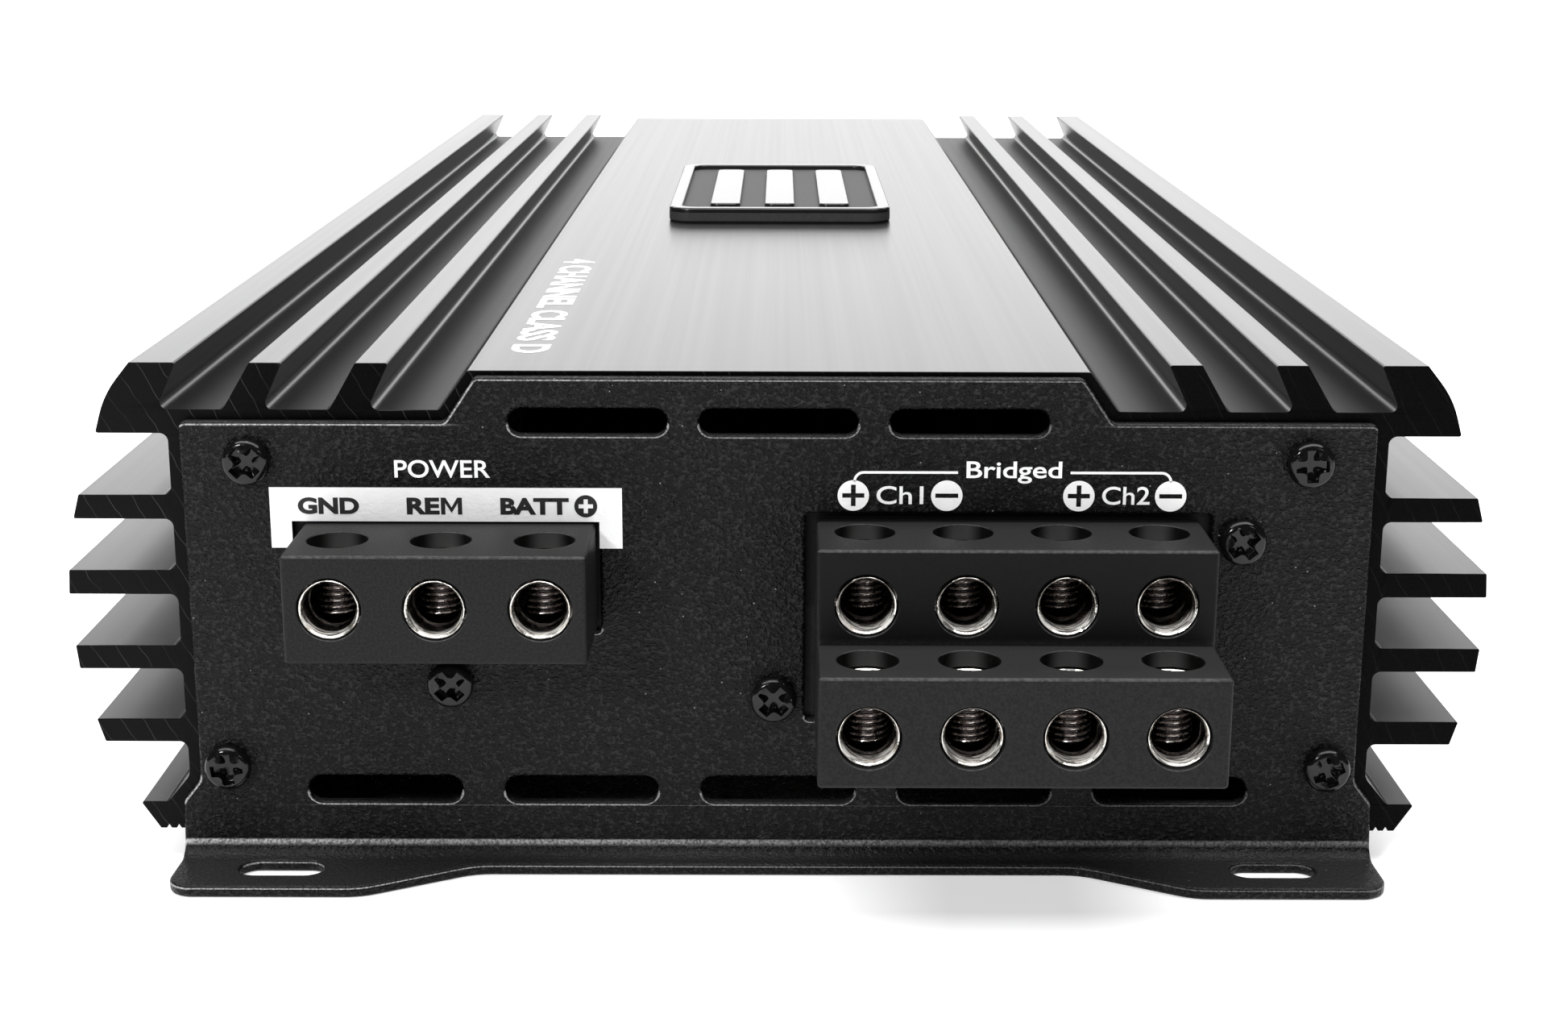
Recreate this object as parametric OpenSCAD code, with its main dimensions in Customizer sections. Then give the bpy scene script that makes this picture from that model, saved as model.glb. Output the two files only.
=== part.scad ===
// Four channel car amplifier: finned heatsink body between two bent steel end plates.
// +Z up, Y along the body, front end (power and speaker terminals) towards -Y.
// The origin is at the bottom centre of the whole amplifier.

/* [Body] */
// Length of the extruded heatsink
heatsink_len = 330; // [320:5:400]
// Sheet thickness of the two end plates
plate_t = 1.5; // [1.2:0.1:1.6]
// Sheet thickness of the base plate
base_t = 1.2; // [0.8:0.1:1.4]

/* [Mounting flanges] */
// Depth of the flange ears, out from the end plate
flange_out = 10; // [9:0.5:12]
// Length of each mounting slot
slot_len = 10.2; // [8:0.2:14]
// Width of each mounting slot
slot_w = 4.2; // [3.6:0.1:4.6]
// Distance of the slots from the centre line
slot_x = 59.7; // [56:0.1:62]

/* [Terminals] */
// Bore of the mouth of every wire clamp
wire_d = 6.0; // [5.4:0.1:6.2]
// Spacing of the power wires
power_pitch = 11.9; // [11.6:0.1:12.0]
// Spacing of the speaker wires
speaker_pitch = 11.4; // [11.2:0.1:11.8]
// Diameter of the clamp screws
clamp_screw_d = 4.9; // [4.4:0.1:5.0]
// Length of the clamp screws
clamp_screw_len = 6; // [5.5:0.1:6.5]

/* [Controls] */
// Diameter of the control knobs
knob_d = 9.6; // [8:0.2:10.6]
// Length of the knobs outside the end plate
knob_len = 7.2; // [5:0.2:8]

/* [Badge] */
// Width of the raised badge
badge_w = 38; // [30:1:60]
// Length of the raised badge
badge_len = 70; // [40:1:100]
// Thickness of the raised badge
badge_t = 2.5; // [1.5:0.1:3]

/* [Hidden] */
$fn = 48;
eps = 0.01;

// Heights, all measured from the underside of the mounting flanges
plateau_z = 61.3;     // top of the raised middle of the heatsink
crest_z = 62.15;      // crests of the slanted fins
valley_z = 56.6;      // floor of the valleys
ceiling_z = 53.1;     // inside, under the valleys
vault_z = 58;         // inside, under the plateau
foot_z = 4.1;         // underside of the heatsink feet
lip_z = 7.3;          // top of the inner lips of the feet
wall_x = 71.7;        // outside of the side walls
inner_x = 68.2;       // inside of the side walls

// Screws, M3 thread-forming with a cross recess, and M3 holes
head_d = 5.6;
head_h = 2.1;
shank_d = 2.56;
tapped_d = 2.6;
through_d = 3.2;
corner_screws = [[62.2, 50.8], [66.4, 12.9]];
boss_r = [3.2, 3.1];

// Speaker block and power block, seen from outside their end
power_x = -38.75;
power_w = 34.4;
power_out = 14;
power_z = [30.4, 43.2];
speaker_x = 27.13;
speaker_w = 45.55;
upper_out = 12;
lower_out = 23.5;
upper_z = [31, 43.5];
lower_z = [19.3, 32.2];
wire_z = 36.9;        // wires of the power block and of the upper speaker deck
lower_wire_z = 25.2;  // wires of the lower speaker deck
terminal_depth = 11;  // reach of the blocks behind the outer face
top_wall = 0.9;       // plastic over the clamps
access_d = 7;         // hole over each clamp screw
nose_d = 6.9;         // front tube of each clamp
clamp_w = 8.6;
clamp_len = 12.5;
nose_len = 2.5;
pocket_gap = 0.1;
inner_wire_d = wire_d - 0.4;
screw_gap = 0.05;
tip_above_floor = 0.4;
power_fixing = [[-39.2, 23.5]];
speaker_fixings = [[54.7, 41.4], [-0.54, 21.7]];

// Wire clamps: [node row, x, axis z, mouth y, screw y, length of the wide mouth, deck top, tail y]
power_wires = [for (i = [-1:1])
    [power_x + i * power_pitch, wire_z, -power_out, -7.1, 4, power_z[1], 12.5]];
upper_wires = [for (i = [-1.5:1.5])
    [speaker_x + i * speaker_pitch, wire_z, -upper_out, -4.1, 5, upper_z[1], 17]];
lower_wires = [for (i = [-1.5:1.5])
    [speaker_x + i * speaker_pitch, lower_wire_z, 0.5 - lower_out, -17.1, 3, lower_z[1], 12.5]];
speaker_wires = concat(upper_wires, lower_wires);

// End faces: the middle of the heatsink sits off the origin, because the speaker block
// reaches further out than the flanges
middle_y = (lower_out - flange_out) / 2;
front_y = middle_y - heatsink_len / 2 - plate_t;
rear_y = middle_y + heatsink_len / 2 + plate_t;

// Front and rear end plates
bend_r = 2;
bend_z = bend_r + plate_t;
bend_w = 144.8;
ear_r = 3.2;
slot_y = -4.35;
vent_w = 18.6;
top_vents = [for (i = [-1:1]) i * 22.3];
bottom_vents = [for (i = [-2:2]) i * 23.8];

// Rear end, x to the right when seen from behind
rca_x = -42;
rca_pitch = 14;
rca_z = [24.2, 38.2];
rca_out = 9.5;
shell_d = 8.3;
shell_neck_d = 8;
shell_free = 8.2;
insulator_d = 7.2;
contact_d = 4.6;
pin_hole_d = 3.4;
knob_rows = [39, 24];
level_x = -16;
filter_x = 0;
lever_x = 17;
bass_x = 33;
led_x = 52;
knob_gap = 0.6;
shaft_d = 4;
pot_w = 9.6;
pot_t = 5.6;
collar_d = 6.6;
lever_w = 2.4;
lever_h = 2.2;
lever_travel = 2;
lever_out = 2.5;
led_d = 3;
control_y = 8.65;     // face of the control board behind the outer face of the plate
control_t = 1.6;

// Boards
board_w = 125;
board_top = 16.5;
board_t = 1.6;
board_y = [front_y + 4.75, rear_y - 5.25];
standoffs = [for (x = [-56, 56]) for (y = [-141, -45, 30, 148]) [x, y]];
base_screws = [for (x = [-66.5, 66.5]) for (y = [-145, -45, 60, 158]) [x, y]];

// Power transistors along both side walls
transistor_pitch = 14;
transistor_rows = [-74, 46];
transistor_steps = [-1.5:1.5];
pad_t = 0.3;
transistor_t = 4.5;
bar_z = 35.5;
bar_t = 1.5;

function unit(v) = v / norm(v);
function turned(v, a) = [v[0] * cos(a) - v[1] * sin(a), v[0] * sin(a) + v[1] * cos(a)];
function corner_sweep(start, end, centre, angle) =
    let (steps = max(2, ceil(abs(angle) / 15)))
    [for (i = [0:steps]) centre + turned(start, angle * i / steps)];
function corner_arc(a, b, c, r) =
    r == 0 ? [b] :
    let (
        u = unit(a - b),
        w = unit(c - b),
        half = acos(u * w) / 2,
        centre = b + unit(u + w) * r / sin(half),
        reach = r / tan(half),
        start = b + u * reach - centre,
        end = b + w * reach - centre,
        way = cross(start, end) > 0 ? 1 : -1
    )
    corner_sweep(start, end, centre, way * (180 - 2 * half));
// An outline of [x, y, corner radius] points, with its corners rounded
function rounded(p) = [
    for (i = [0:len(p) - 1])
    let (
        a = p[(i + len(p) - 1) % len(p)],
        b = p[i],
        c = p[(i + 1) % len(p)]
    )
    for (q = corner_arc([a[0], a[1]], [b[0], b[1]], [c[0], c[1]], b[2])) q
];
function both_sides(half) = concat(
    half,
    [for (i = [len(half) - 1:-1:0]) [-half[i][0], half[i][1], half[i][2]]]
);

// Right half of the heatsink section: [x, z, corner radius]
leaning_fins = [[48.15, 45.47, 49.35, 52.57], [60.48, 57.9, 61.7, 65.05]];
side_fins = [
    [46.26, 43.3, 82.7, 83.5],
    [37.0, 34.0, 84.47, 84.66],
    [27.6, 24.65, 84.36, 84.05],
    [18.3, 15.35, 82.5, 81.6]
];
heatsink_half = concat(
    [[36.3, plateau_z, 0.6], [39.7, valley_z, 0.8]],
    [for (f = leaning_fins) each [
        [f[0], valley_z, 0.8], [f[1], crest_z, 0.3], [f[2], crest_z, 0.3], [f[3], valley_z, 0.8]
    ]],
    [
        [72.8, valley_z, 0.8], [70.3, crest_z, 0.3], [75.7, crest_z, 0.3],
        [78.9, 58.2, 12], [80.2, 53.7, 0.3], [wall_x, 53.7, 1]
    ],
    [for (f = side_fins) each [
        [wall_x, f[0], 1], [f[2], f[0], 0.3], [f[3], f[1], 0.3], [wall_x, f[1], 1]
    ]],
    [
        [wall_x, 11, 2], [74.5, 7.6, 1], [77.9, 7.6, 0.3], [75.6, foot_z, 0.3],
        [64, foot_z, 0], [64, lip_z, 0], [inner_x, lip_z, 0.5], [inner_x, ceiling_z, 1],
        [38.5, ceiling_z, 1], [34.5, vault_z, 1]
    ]
);
plate_half = [
    [bend_w / 2, bend_z, 0], [72.2, 8.3, 2], [70, 11.1, 2], [70, 55, 0.8],
    [39.4, 55, 1.2], [35.5, 61, 1]
];
flange_half = [
    [bend_w / 2, -bend_r, 0], [72.6, -flange_out, ear_r], [49.3, -flange_out, 8],
    [36.5, -3.2, 8]
];

// Places: both ends are built as seen from outside, outwards towards -Y
module at_front() {
    translate([0, front_y, 0]) children();
}
module at_rear() {
    translate([0, rear_y, 0]) rotate([0, 0, 180]) children();
}
module upright(depth) {
    rotate([90, 0, 0]) linear_extrude(depth) children();
}
// A bar from y to y + depth whose ends are round, for slots cut through a plate
module slot_bar(length, width, y, depth) {
    translate([-(length - width) / 2, y, -width / 2]) cube([length - width, depth, width]);
    for (side = [-1, 1])
        translate([side * (length - width) / 2, y, 0])
            rotate([-90, 0, 0]) cylinder(d = width, h = depth);
}
module along_y(d, y, length) {
    translate([0, y, 0]) rotate([-90, 0, 0]) cylinder(d = d, h = length);
}
module tube_y(outer_d, inner_d, y, length) {
    difference() {
        along_y(outer_d, y, length);
        along_y(inner_d, y - 1, length + 2);
    }
}
// Pan-head screw, head above z = 0 and shank below
module pan_screw(length) {
    difference() {
        union() {
            rotate_extrude() polygon([
                [0, 0], [head_d / 2, 0], [head_d / 2, 0.9], [head_d / 2 - 0.25, 1.45],
                [head_d / 2 - 0.9, 1.9], [0, head_h]
            ]);
            translate([0, 0, -length]) cylinder(d = shank_d, h = length + eps);
        }
        for (a = [0, 90])
            rotate([0, 0, a]) translate([-1.6, -0.4, 0.8]) cube([3.2, 0.8, head_h]);
    }
}
module end_screw(place, length) {
    translate([place[0], 0, place[1]]) rotate([90, 0, 0]) pan_screw(length);
}

module heatsink() {
    color("#26272a")
    difference() {
        translate([0, middle_y - heatsink_len / 2, 0]) union() {
            translate([0, heatsink_len, 0]) upright(heatsink_len)
                polygon(rounded(both_sides(heatsink_half)));
            for (side = [-1, 1]) for (i = [0, 1])
                translate([side * corner_screws[i][0], 0, corner_screws[i][1]])
                    along_y(2 * boss_r[i], 0, heatsink_len);
        }
        for (side = [-1, 1]) {
            for (s = corner_screws)
                translate([side * s[0], middle_y, s[1]])
                    along_y(tapped_d, -heatsink_len, 2 * heatsink_len);
            for (row = transistor_rows) for (step = [-1, 1])
                translate([side * 66, row + step * transistor_pitch, bar_z])
                    rotate([0, side * 90, 0]) cylinder(d = tapped_d, h = 8);
        }
        for (s = base_screws)
            translate([s[0], s[1], foot_z - 1]) cylinder(d = tapped_d, h = 5);
    }
}

module base_plate() {
    color("#1d1e20")
    difference() {
        translate([-69.5, middle_y - heatsink_len / 2 + 0.2, foot_z - base_t])
            cube([139, heatsink_len - 0.4, base_t]);
        for (s = base_screws)
            translate([s[0], s[1], 0]) cylinder(d = through_d, h = 6);
    }
}
module base_plate_screws() {
    color("#111113")
    for (s = base_screws)
        translate([s[0], s[1], foot_z - base_t]) rotate([180, 0, 0]) pan_screw(5.2);
}

// Bent sheet that both end plates are made from
module end_sheet() {
    difference() {
        union() {
            translate([0, plate_t, 0]) upright(plate_t)
                polygon(rounded(both_sides(plate_half)));
            linear_extrude(plate_t) polygon(rounded(both_sides(flange_half)));
            translate([0, -bend_r, bend_z]) intersection() {
                rotate([0, 90, 0]) difference() {
                    cylinder(r = bend_z, h = bend_w, center = true);
                    cylinder(r = bend_r, h = bend_w + 2, center = true);
                }
                translate([-bend_w, 0, -2 * bend_z]) cube([2 * bend_w, 2 * bend_z, 2 * bend_z]);
            }
        }
        for (x = top_vents) translate([x, 0, 55.55]) slot_bar(vent_w, 3.1, -1, 4);
        for (x = bottom_vents) translate([x, 0, 9.9]) slot_bar(vent_w, 3.3, -1, 4);
        for (side = [-1, 1]) {
            for (s = corner_screws)
                translate([side * s[0], 0, s[1]]) along_y(through_d, -1, 4);
            translate([side * slot_x, slot_y, -1]) rotate([90, 0, 0])
                slot_bar(slot_len, slot_w, -4, 8);
        }
    }
}
module front_end_plate() {
    color("#17181a")
    at_front() difference() {
        end_sheet();
        translate([-57.3, -1, 29.9]) cube([36.2, 4, 13.7]);
        translate([3.2, -1, 18.9]) cube([47.9, 4, 25.7]);
        for (s = concat(power_fixing, speaker_fixings))
            translate([s[0], 0, s[1]]) along_y(through_d, -1, 4);
    }
}
module rear_end_plate() {
    color("#17181a")
    at_rear() difference() {
        end_sheet();
        rca_places() along_y(9.8, -1, 4);
        translate([rca_x, 0, (rca_z[0] + rca_z[1]) / 2]) along_y(through_d, -1, 4);
        for (k = knobs) translate([k[0], 0, k[1]]) along_y(collar_d + 0.6, -1, 4);
        for (k = levers) translate([k[0], 0, k[1]])
            slot_bar(lever_w + 2 * lever_travel + 1.6, lever_h + 1.1, -1, 4);
        for (z = knob_rows) translate([led_x, 0, z]) along_y(led_d + 0.3, -1, 4);
    }
}
module corner_screw_set() {
    for (side = [-1, 1]) for (s = corner_screws) end_screw([side * s[0], s[1]], 8);
}
module front_plate_screws() {
    color("#111113") at_front() corner_screw_set();
}
module rear_plate_screws() {
    color("#111113")
    at_rear() {
        corner_screw_set();
        end_screw([rca_x, (rca_z[0] + rca_z[1]) / 2], 8);
    }
}
module badge() {
    color("#101012")
    translate([0, middle_y, plateau_z]) linear_extrude(badge_t) polygon(rounded([
        [badge_w / 2, badge_len / 2, 4], [-badge_w / 2, badge_len / 2, 4],
        [-badge_w / 2, -badge_len / 2, 4], [badge_w / 2, -badge_len / 2, 4]
    ]));
}

// Screw terminals. A wire is [x, axis z, mouth y, screw y, mouth length, deck top, tail y]
module clamp_pocket(w) {
    half = clamp_w / 2 + pocket_gap;
    translate([w[0] - half, w[2] + nose_len - pocket_gap, w[1] - 4 - pocket_gap])
        cube([2 * half, terminal_depth - w[2], w[5] - top_wall - w[1] + 4 + pocket_gap]);
    translate([w[0], 0, w[1]]) along_y(nose_d + 0.4, w[2] - 2, nose_len + 3);
    translate([w[0], w[3], w[5] - 3]) cylinder(d = access_d, h = 5);
}
module wire_clamp(w) {
    top = w[5] - top_wall - pocket_gap;
    difference() {
        union() {
            translate([w[0], 0, w[1]]) along_y(nose_d, w[2], nose_len + 1);
            translate([w[0] - clamp_w / 2, w[2] + nose_len, w[1] - 4])
                cube([clamp_w, clamp_len, top - w[1] + 4]);
            translate([w[0] - 2.5, w[2] + nose_len + clamp_len - eps, w[1] - 1.5])
                cube([5, w[6] + 1 - w[2] - nose_len - clamp_len, 1]);
            translate([w[0] - 2.5, w[6], board_top]) cube([5, 1, w[1] - 0.5 - board_top]);
            translate([w[0], w[6] + 0.5, 13.4]) cylinder(d = 1, h = 4);
        }
        translate([w[0], 0, w[1]]) {
            along_y(wire_d, w[2] - 1, w[4] + 1);
            along_y(inner_wire_d, w[2], nose_len + clamp_len - 2);
        }
        translate([w[0], w[3], w[1] - inner_wire_d / 2])
            cylinder(d = clamp_screw_d + 2 * screw_gap, h = 12);
    }
}
// Set screw with a hexagonal socket, its tip just above the floor of the wire hole
module clamp_screw(w) {
    r = clamp_screw_d / 2;
    color("#b9b4a8")
    at_front() translate([w[0], w[3], w[1] - inner_wire_d / 2 + tip_above_floor])
        difference() {
            rotate_extrude() polygon([
                [0, 0], [r - 0.9, 0], [r, 0.7], [r, clamp_screw_len - 0.3],
                [r - 0.3, clamp_screw_len], [0, clamp_screw_len]
            ]);
            translate([0, 0, clamp_screw_len - 2.4]) cylinder(d = 2.9, h = 3, $fn = 6);
        }
}
module fixing_boss(places) {
    for (s = places) translate([s[0], 0, s[1]]) along_y(7, plate_t, 8);
}
module fixing_holes(places) {
    for (s = places) translate([s[0], 0, s[1]]) along_y(tapped_d, 0, 8.5);
}
module block(x, w, y, z) {
    translate([x - w / 2, y, z[0]]) cube([w, terminal_depth - y, z[1] - z[0]]);
}
module power_terminal_housing() {
    color("#333336")
    at_front() difference() {
        union() {
            block(power_x, power_w, -power_out, power_z);
            translate([power_x - 20.5, plate_t, board_top + 1]) cube([41, 2.6, 29]);
            fixing_boss(power_fixing);
        }
        for (w = power_wires) clamp_pocket(w);
        fixing_holes(power_fixing);
    }
}
module speaker_terminal_housing() {
    color("#333336")
    at_front() difference() {
        union() {
            block(speaker_x, speaker_w, -upper_out, upper_z);
            block(speaker_x, speaker_w, -lower_out, lower_z);
            translate([-4.5, plate_t, board_top + 1]) cube([63.2, 2.6, 29]);
            fixing_boss(speaker_fixings);
        }
        for (w = speaker_wires) clamp_pocket(w);
        fixing_holes(speaker_fixings);
    }
}
module power_terminal_clamps() {
    color("#c9c3b4") at_front() for (w = power_wires) wire_clamp(w);
}
module speaker_terminal_clamps() {
    color("#c9c3b4") at_front() for (w = speaker_wires) wire_clamp(w);
}
module power_terminal_fixing_screw() {
    color("#111113") at_front() for (s = power_fixing) end_screw(s, 8);
}
module speaker_terminal_fixing_screws() {
    color("#111113") at_front() for (s = speaker_fixings) end_screw(s, 8);
}

// Rear end: signal inputs
module rca_places() {
    for (side = [-1, 1]) for (z = rca_z)
        translate([rca_x + side * rca_pitch / 2, 0, z]) children();
}
module rca_jack_housing() {
    middle_z = (rca_z[0] + rca_z[1]) / 2;
    color("#1b1b1d")
    at_rear() difference() {
        union() {
            translate([rca_x - 14.5, plate_t + 0.2, board_top]) cube([29, 11, 30]);
            rca_places() along_y(9.4, -0.8, 3);
        }
        rca_places() along_y(shell_neck_d, -2, 10);
        translate([rca_x, 0, middle_z]) along_y(tapped_d, 0, 8.5);
    }
}
module rca_jack_shells() {
    color("#d8d3c4")
    at_rear() rca_places() {
        difference() {
            union() {
                along_y(shell_d, -rca_out, shell_free);
                along_y(shell_neck_d, -rca_out, 17.5);
            }
            along_y(insulator_d, -rca_out - 1, 20);
        }
    }
}
module rca_jack_insulators() {
    color("#e8e8e6") at_rear() rca_places() tube_y(insulator_d, contact_d, 1 - rca_out, 16.5);
}
module rca_jack_contacts() {
    color("#d8d3c4")
    at_rear() rca_places() difference() {
        along_y(contact_d, 1.5 - rca_out, 15);
        along_y(pin_hole_d, -rca_out, 12);
    }
}

// Rear end: controls, [x, z] seen from behind
knobs = [
    [level_x, knob_rows[0]], [level_x, knob_rows[1]], [filter_x, knob_rows[0]],
    [filter_x, knob_rows[1]], [bass_x, knob_rows[1]]
];
levers = [[lever_x, knob_rows[0]], [lever_x, knob_rows[1]], [bass_x, knob_rows[0]]];
module control_knob(k) {
    color("#202124")
    at_rear() translate([k[0], 0, k[1]]) difference() {
        union() {
            along_y(knob_d, -knob_gap - knob_len, knob_len);
            along_y(shaft_d, -knob_gap - 1, knob_gap + 1 + 6);
        }
        translate([-0.4, -knob_gap - knob_len - 1, 0.6]) cube([0.8, 1.6, knob_d]);
    }
}
module potentiometer_bodies() {
    color("#3b4a63")
    at_rear() for (k = knobs) translate([k[0], 0, k[1]]) difference() {
        union() {
            translate([-pot_w / 2, control_y - pot_t, -pot_w / 2]) cube([pot_w, pot_t, pot_w]);
            along_y(collar_d, 0.6, 4);
        }
        along_y(shaft_d + 0.1, -1, 7.8);
    }
}
module switch_lever(k) {
    color("#e4e4e2")
    at_rear() translate([k[0] - lever_w / 2, -lever_out, k[1] - lever_h / 2])
        cube([lever_w, lever_out + 5, lever_h]);
}
module slide_switch_bodies() {
    well = lever_w + 2 * lever_travel + 0.8;
    color("#a9abae")
    at_rear() for (k = levers) translate([k[0], 0, k[1]]) difference() {
        translate([-6.5, plate_t + 0.6, -3.3]) cube([13, control_y - plate_t - 0.6, 6.6]);
        translate([-well / 2, plate_t, -lever_h / 2 - 0.3]) cube([well, 4, lever_h + 0.6]);
    }
}
module led(z, tint) {
    color(tint)
    at_rear() translate([led_x, 0, z]) {
        along_y(led_d, 0.2, control_y - 0.2);
        translate([0, 0.2, 0]) sphere(d = led_d);
    }
}

// Circuit boards
module pin_holes() {
    at_front() for (w = concat(power_wires, speaker_wires))
        translate([w[0], w[6] + 0.5, 0]) cylinder(d = 1.2, h = 30);
}
module main_circuit_board() {
    color("#1f5a34")
    difference() {
        translate([-board_w / 2, board_y[0], board_top - board_t])
            cube([board_w, board_y[1] - board_y[0], board_t]);
        for (s = standoffs) translate([s[0], s[1], 0]) cylinder(d = through_d, h = 30);
        pin_holes();
    }
}
module control_board() {
    color("#1f5a34")
    at_rear() translate([-26, control_y, board_top + 2]) cube([87, control_t, 28.5]);
}
module board_connector() {
    color("#1a1a1c")
    at_rear() translate([10, control_y + control_t, board_top]) cube([30, 5, 6]);
}
module board_standoffs() {
    color("#c4c6c8")
    for (s = standoffs) translate([s[0], s[1], foot_z]) difference() {
        cylinder(d = 6.4, h = board_top - board_t - foot_z, $fn = 6);
        translate([0, 0, -1]) cylinder(d = tapped_d, h = 30);
    }
}
module board_screws() {
    color("#c4c6c8")
    for (s = standoffs) translate([s[0], s[1], board_top]) pan_screw(7);
}

// Power supply
transformer_place = [-18, -66, board_top];
choke_place = [16, -118, board_top + 8.2];
fuse_places = [[-40, -128], [-40, -112]];
input_caps = [for (i = [0:2]) [-8 + i * 18.5, -98]];
rail_caps = [for (x = [-33, -11, 11, 33]) for (y = [-24, -2]) [x, y]];
module ring(outer_r, inner_r, z, h) {
    translate([0, 0, z]) difference() {
        cylinder(r = outer_r, h = h);
        translate([0, 0, -1]) cylinder(r = inner_r, h = h + 2);
    }
}
module transformer_core() {
    color("#5a5e58") translate(transformer_place) ring(19, 12.5, 4.4, 17);
}
module transformer_winding() {
    color("#a8622a")
    translate(transformer_place) difference() {
        ring(23, 8.5, 0.3, 25.2);
        ring(19, 12.5, 4.4, 17);
    }
}
module input_choke_core() {
    color("#4a4d4f") translate(choke_place) rotate([0, 90, 0])
        cylinder(d = 9, h = 32, center = true);
}
module input_choke_winding() {
    color("#a8622a") translate(choke_place) rotate([0, 90, 0]) difference() {
        cylinder(d = 16, h = 26, center = true);
        cylinder(d = 9, h = 30, center = true);
    }
}
module capacitor(place, d, h) {
    translate([place[0], place[1], board_top]) difference() {
        rotate_extrude() polygon([
            [0, 0], [d / 2, 0], [d / 2, 2], [d / 2 - 0.6, 2.6], [d / 2, 3.2],
            [d / 2, h - 0.8], [d / 2 - 0.8, h], [0, h]
        ]);
        for (a = [0, 90])
            rotate([0, 0, a]) translate([-d / 3, -0.2, h - 0.3]) cube([2 * d / 3, 0.4, 1]);
    }
}
module input_capacitors() {
    color("#22303f") for (p = input_caps) capacitor(p, 16, 31);
}
module rail_capacitors() {
    color("#22303f") for (p = rail_caps) capacitor(p, 20, 33);
}
module fuse_holders() {
    color("#1a1a1c")
    for (p = fuse_places) translate([p[0], p[1], board_top]) difference() {
        translate([-12, -4.5, 0]) cube([24, 9, 11]);
        translate([-9.8, -2.7, 2]) cube([19.6, 5.4, 12]);
    }
}
module blade_fuses() {
    color("#d9b62a")
    for (p = fuse_places) translate([p[0], p[1], board_top + 9.5]) {
        translate([-9.5, -2.5, 0]) cube([19, 5, 10.5]);
        for (x = [-7.3, 2.1]) translate([x, -0.35, -7]) cube([5.2, 0.7, 7 + eps]);
    }
}

// Power stage along the side walls
module on_walls() {
    for (side = [0, 1]) mirror([side, 0, 0]) for (row = transistor_rows)
        translate([0, row, 0]) children();
}
module thermal_pads() {
    color("#8f9194")
    on_walls() translate([inner_x - pad_t, -28, 26]) difference() {
        cube([pad_t, 56, 21.5]);
        for (step = [-1, 1])
            translate([-1, 28 + step * transistor_pitch, bar_z - 26])
                rotate([0, 90, 0]) cylinder(d = through_d, h = 3);
    }
}
module transistor() {
    face = inner_x - pad_t;
    translate([face - 1.3, -5, 42]) cube([1.3, 10, 5]);
    translate([face - transistor_t, -5, 27]) cube([transistor_t, 10, 15 + eps]);
    for (y = [-2.54, 0, 2.54]) {
        translate([face - 7.4, y - 0.4, 23.6]) cube([5, 0.8, 0.6]);
        translate([face - 3, y - 0.4, 23.6]) cube([0.6, 0.8, 3.4 + eps]);
        translate([face - 7.4, y - 0.4, 16.5]) cube([0.6, 0.8, 7.2]);
    }
}
module power_transistors() {
    color("#141416")
    on_walls() for (i = transistor_steps) translate([0, i * transistor_pitch, 0]) transistor();
}
module transistor_clamp_bars() {
    color("#b4b6b9")
    on_walls() difference() {
        translate([inner_x - pad_t - transistor_t - bar_t, -28, bar_z - 4])
            cube([bar_t, 56, 8]);
        for (step = [-1, 1])
            translate([50, step * transistor_pitch, bar_z])
                rotate([0, 90, 0]) cylinder(d = through_d, h = 20);
    }
}
module clamp_bar_screws() {
    color("#b4b6b9")
    on_walls() for (step = [-1, 1])
        translate([inner_x - pad_t - transistor_t - bar_t, step * transistor_pitch, bar_z])
            rotate([0, -90, 0]) pan_screw(11);
}
module output_inductors() {
    color("#a8622a")
    for (x = [-39, -13, 13, 39]) translate([x, 86, board_top]) ring(11, 4.5, 0.3, 12);
}
module integrated_circuits() {
    color("#141416")
    for (x = [-30, -10, 10, 30]) for (y = [32, 62])
        translate([x - 3.3, y - 9, board_top]) {
            translate([0, 0, 1]) cube([6.6, 18, 3.4]);
            for (side = [-0.6, 6.4]) for (i = [0:6])
                translate([side, 1.2 + i * 2.54, 0]) cube([0.8, 0.5, 2.2]);
        }
}

heatsink();
base_plate();
front_end_plate();
rear_end_plate();
front_plate_screws();
rear_plate_screws();
base_plate_screws();
badge();
power_terminal_housing();
power_terminal_clamps();
power_terminal_fixing_screw();
clamp_screw(power_wires[0]);  // power_clamp_screw_1
clamp_screw(power_wires[1]);  // power_clamp_screw_2
clamp_screw(power_wires[2]);  // power_clamp_screw_3
speaker_terminal_housing();
speaker_terminal_clamps();
speaker_terminal_fixing_screws();
clamp_screw(speaker_wires[0]);  // speaker_clamp_screw_1
clamp_screw(speaker_wires[1]);  // speaker_clamp_screw_2
clamp_screw(speaker_wires[2]);  // speaker_clamp_screw_3
clamp_screw(speaker_wires[3]);  // speaker_clamp_screw_4
clamp_screw(speaker_wires[4]);  // speaker_clamp_screw_5
clamp_screw(speaker_wires[5]);  // speaker_clamp_screw_6
clamp_screw(speaker_wires[6]);  // speaker_clamp_screw_7
clamp_screw(speaker_wires[7]);  // speaker_clamp_screw_8
rca_jack_housing();
rca_jack_shells();
rca_jack_insulators();
rca_jack_contacts();
control_knob(knobs[0]);  // front_level_knob
control_knob(knobs[1]);  // rear_level_knob
control_knob(knobs[2]);  // high_pass_knob
control_knob(knobs[3]);  // low_pass_knob
control_knob(knobs[4]);  // bass_boost_knob
potentiometer_bodies();
switch_lever(levers[0]);  // front_crossover_lever
switch_lever(levers[1]);  // rear_crossover_lever
switch_lever(levers[2]);  // input_mode_lever
slide_switch_bodies();
led(knob_rows[0], "#3f74d8");  // power_led
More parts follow.
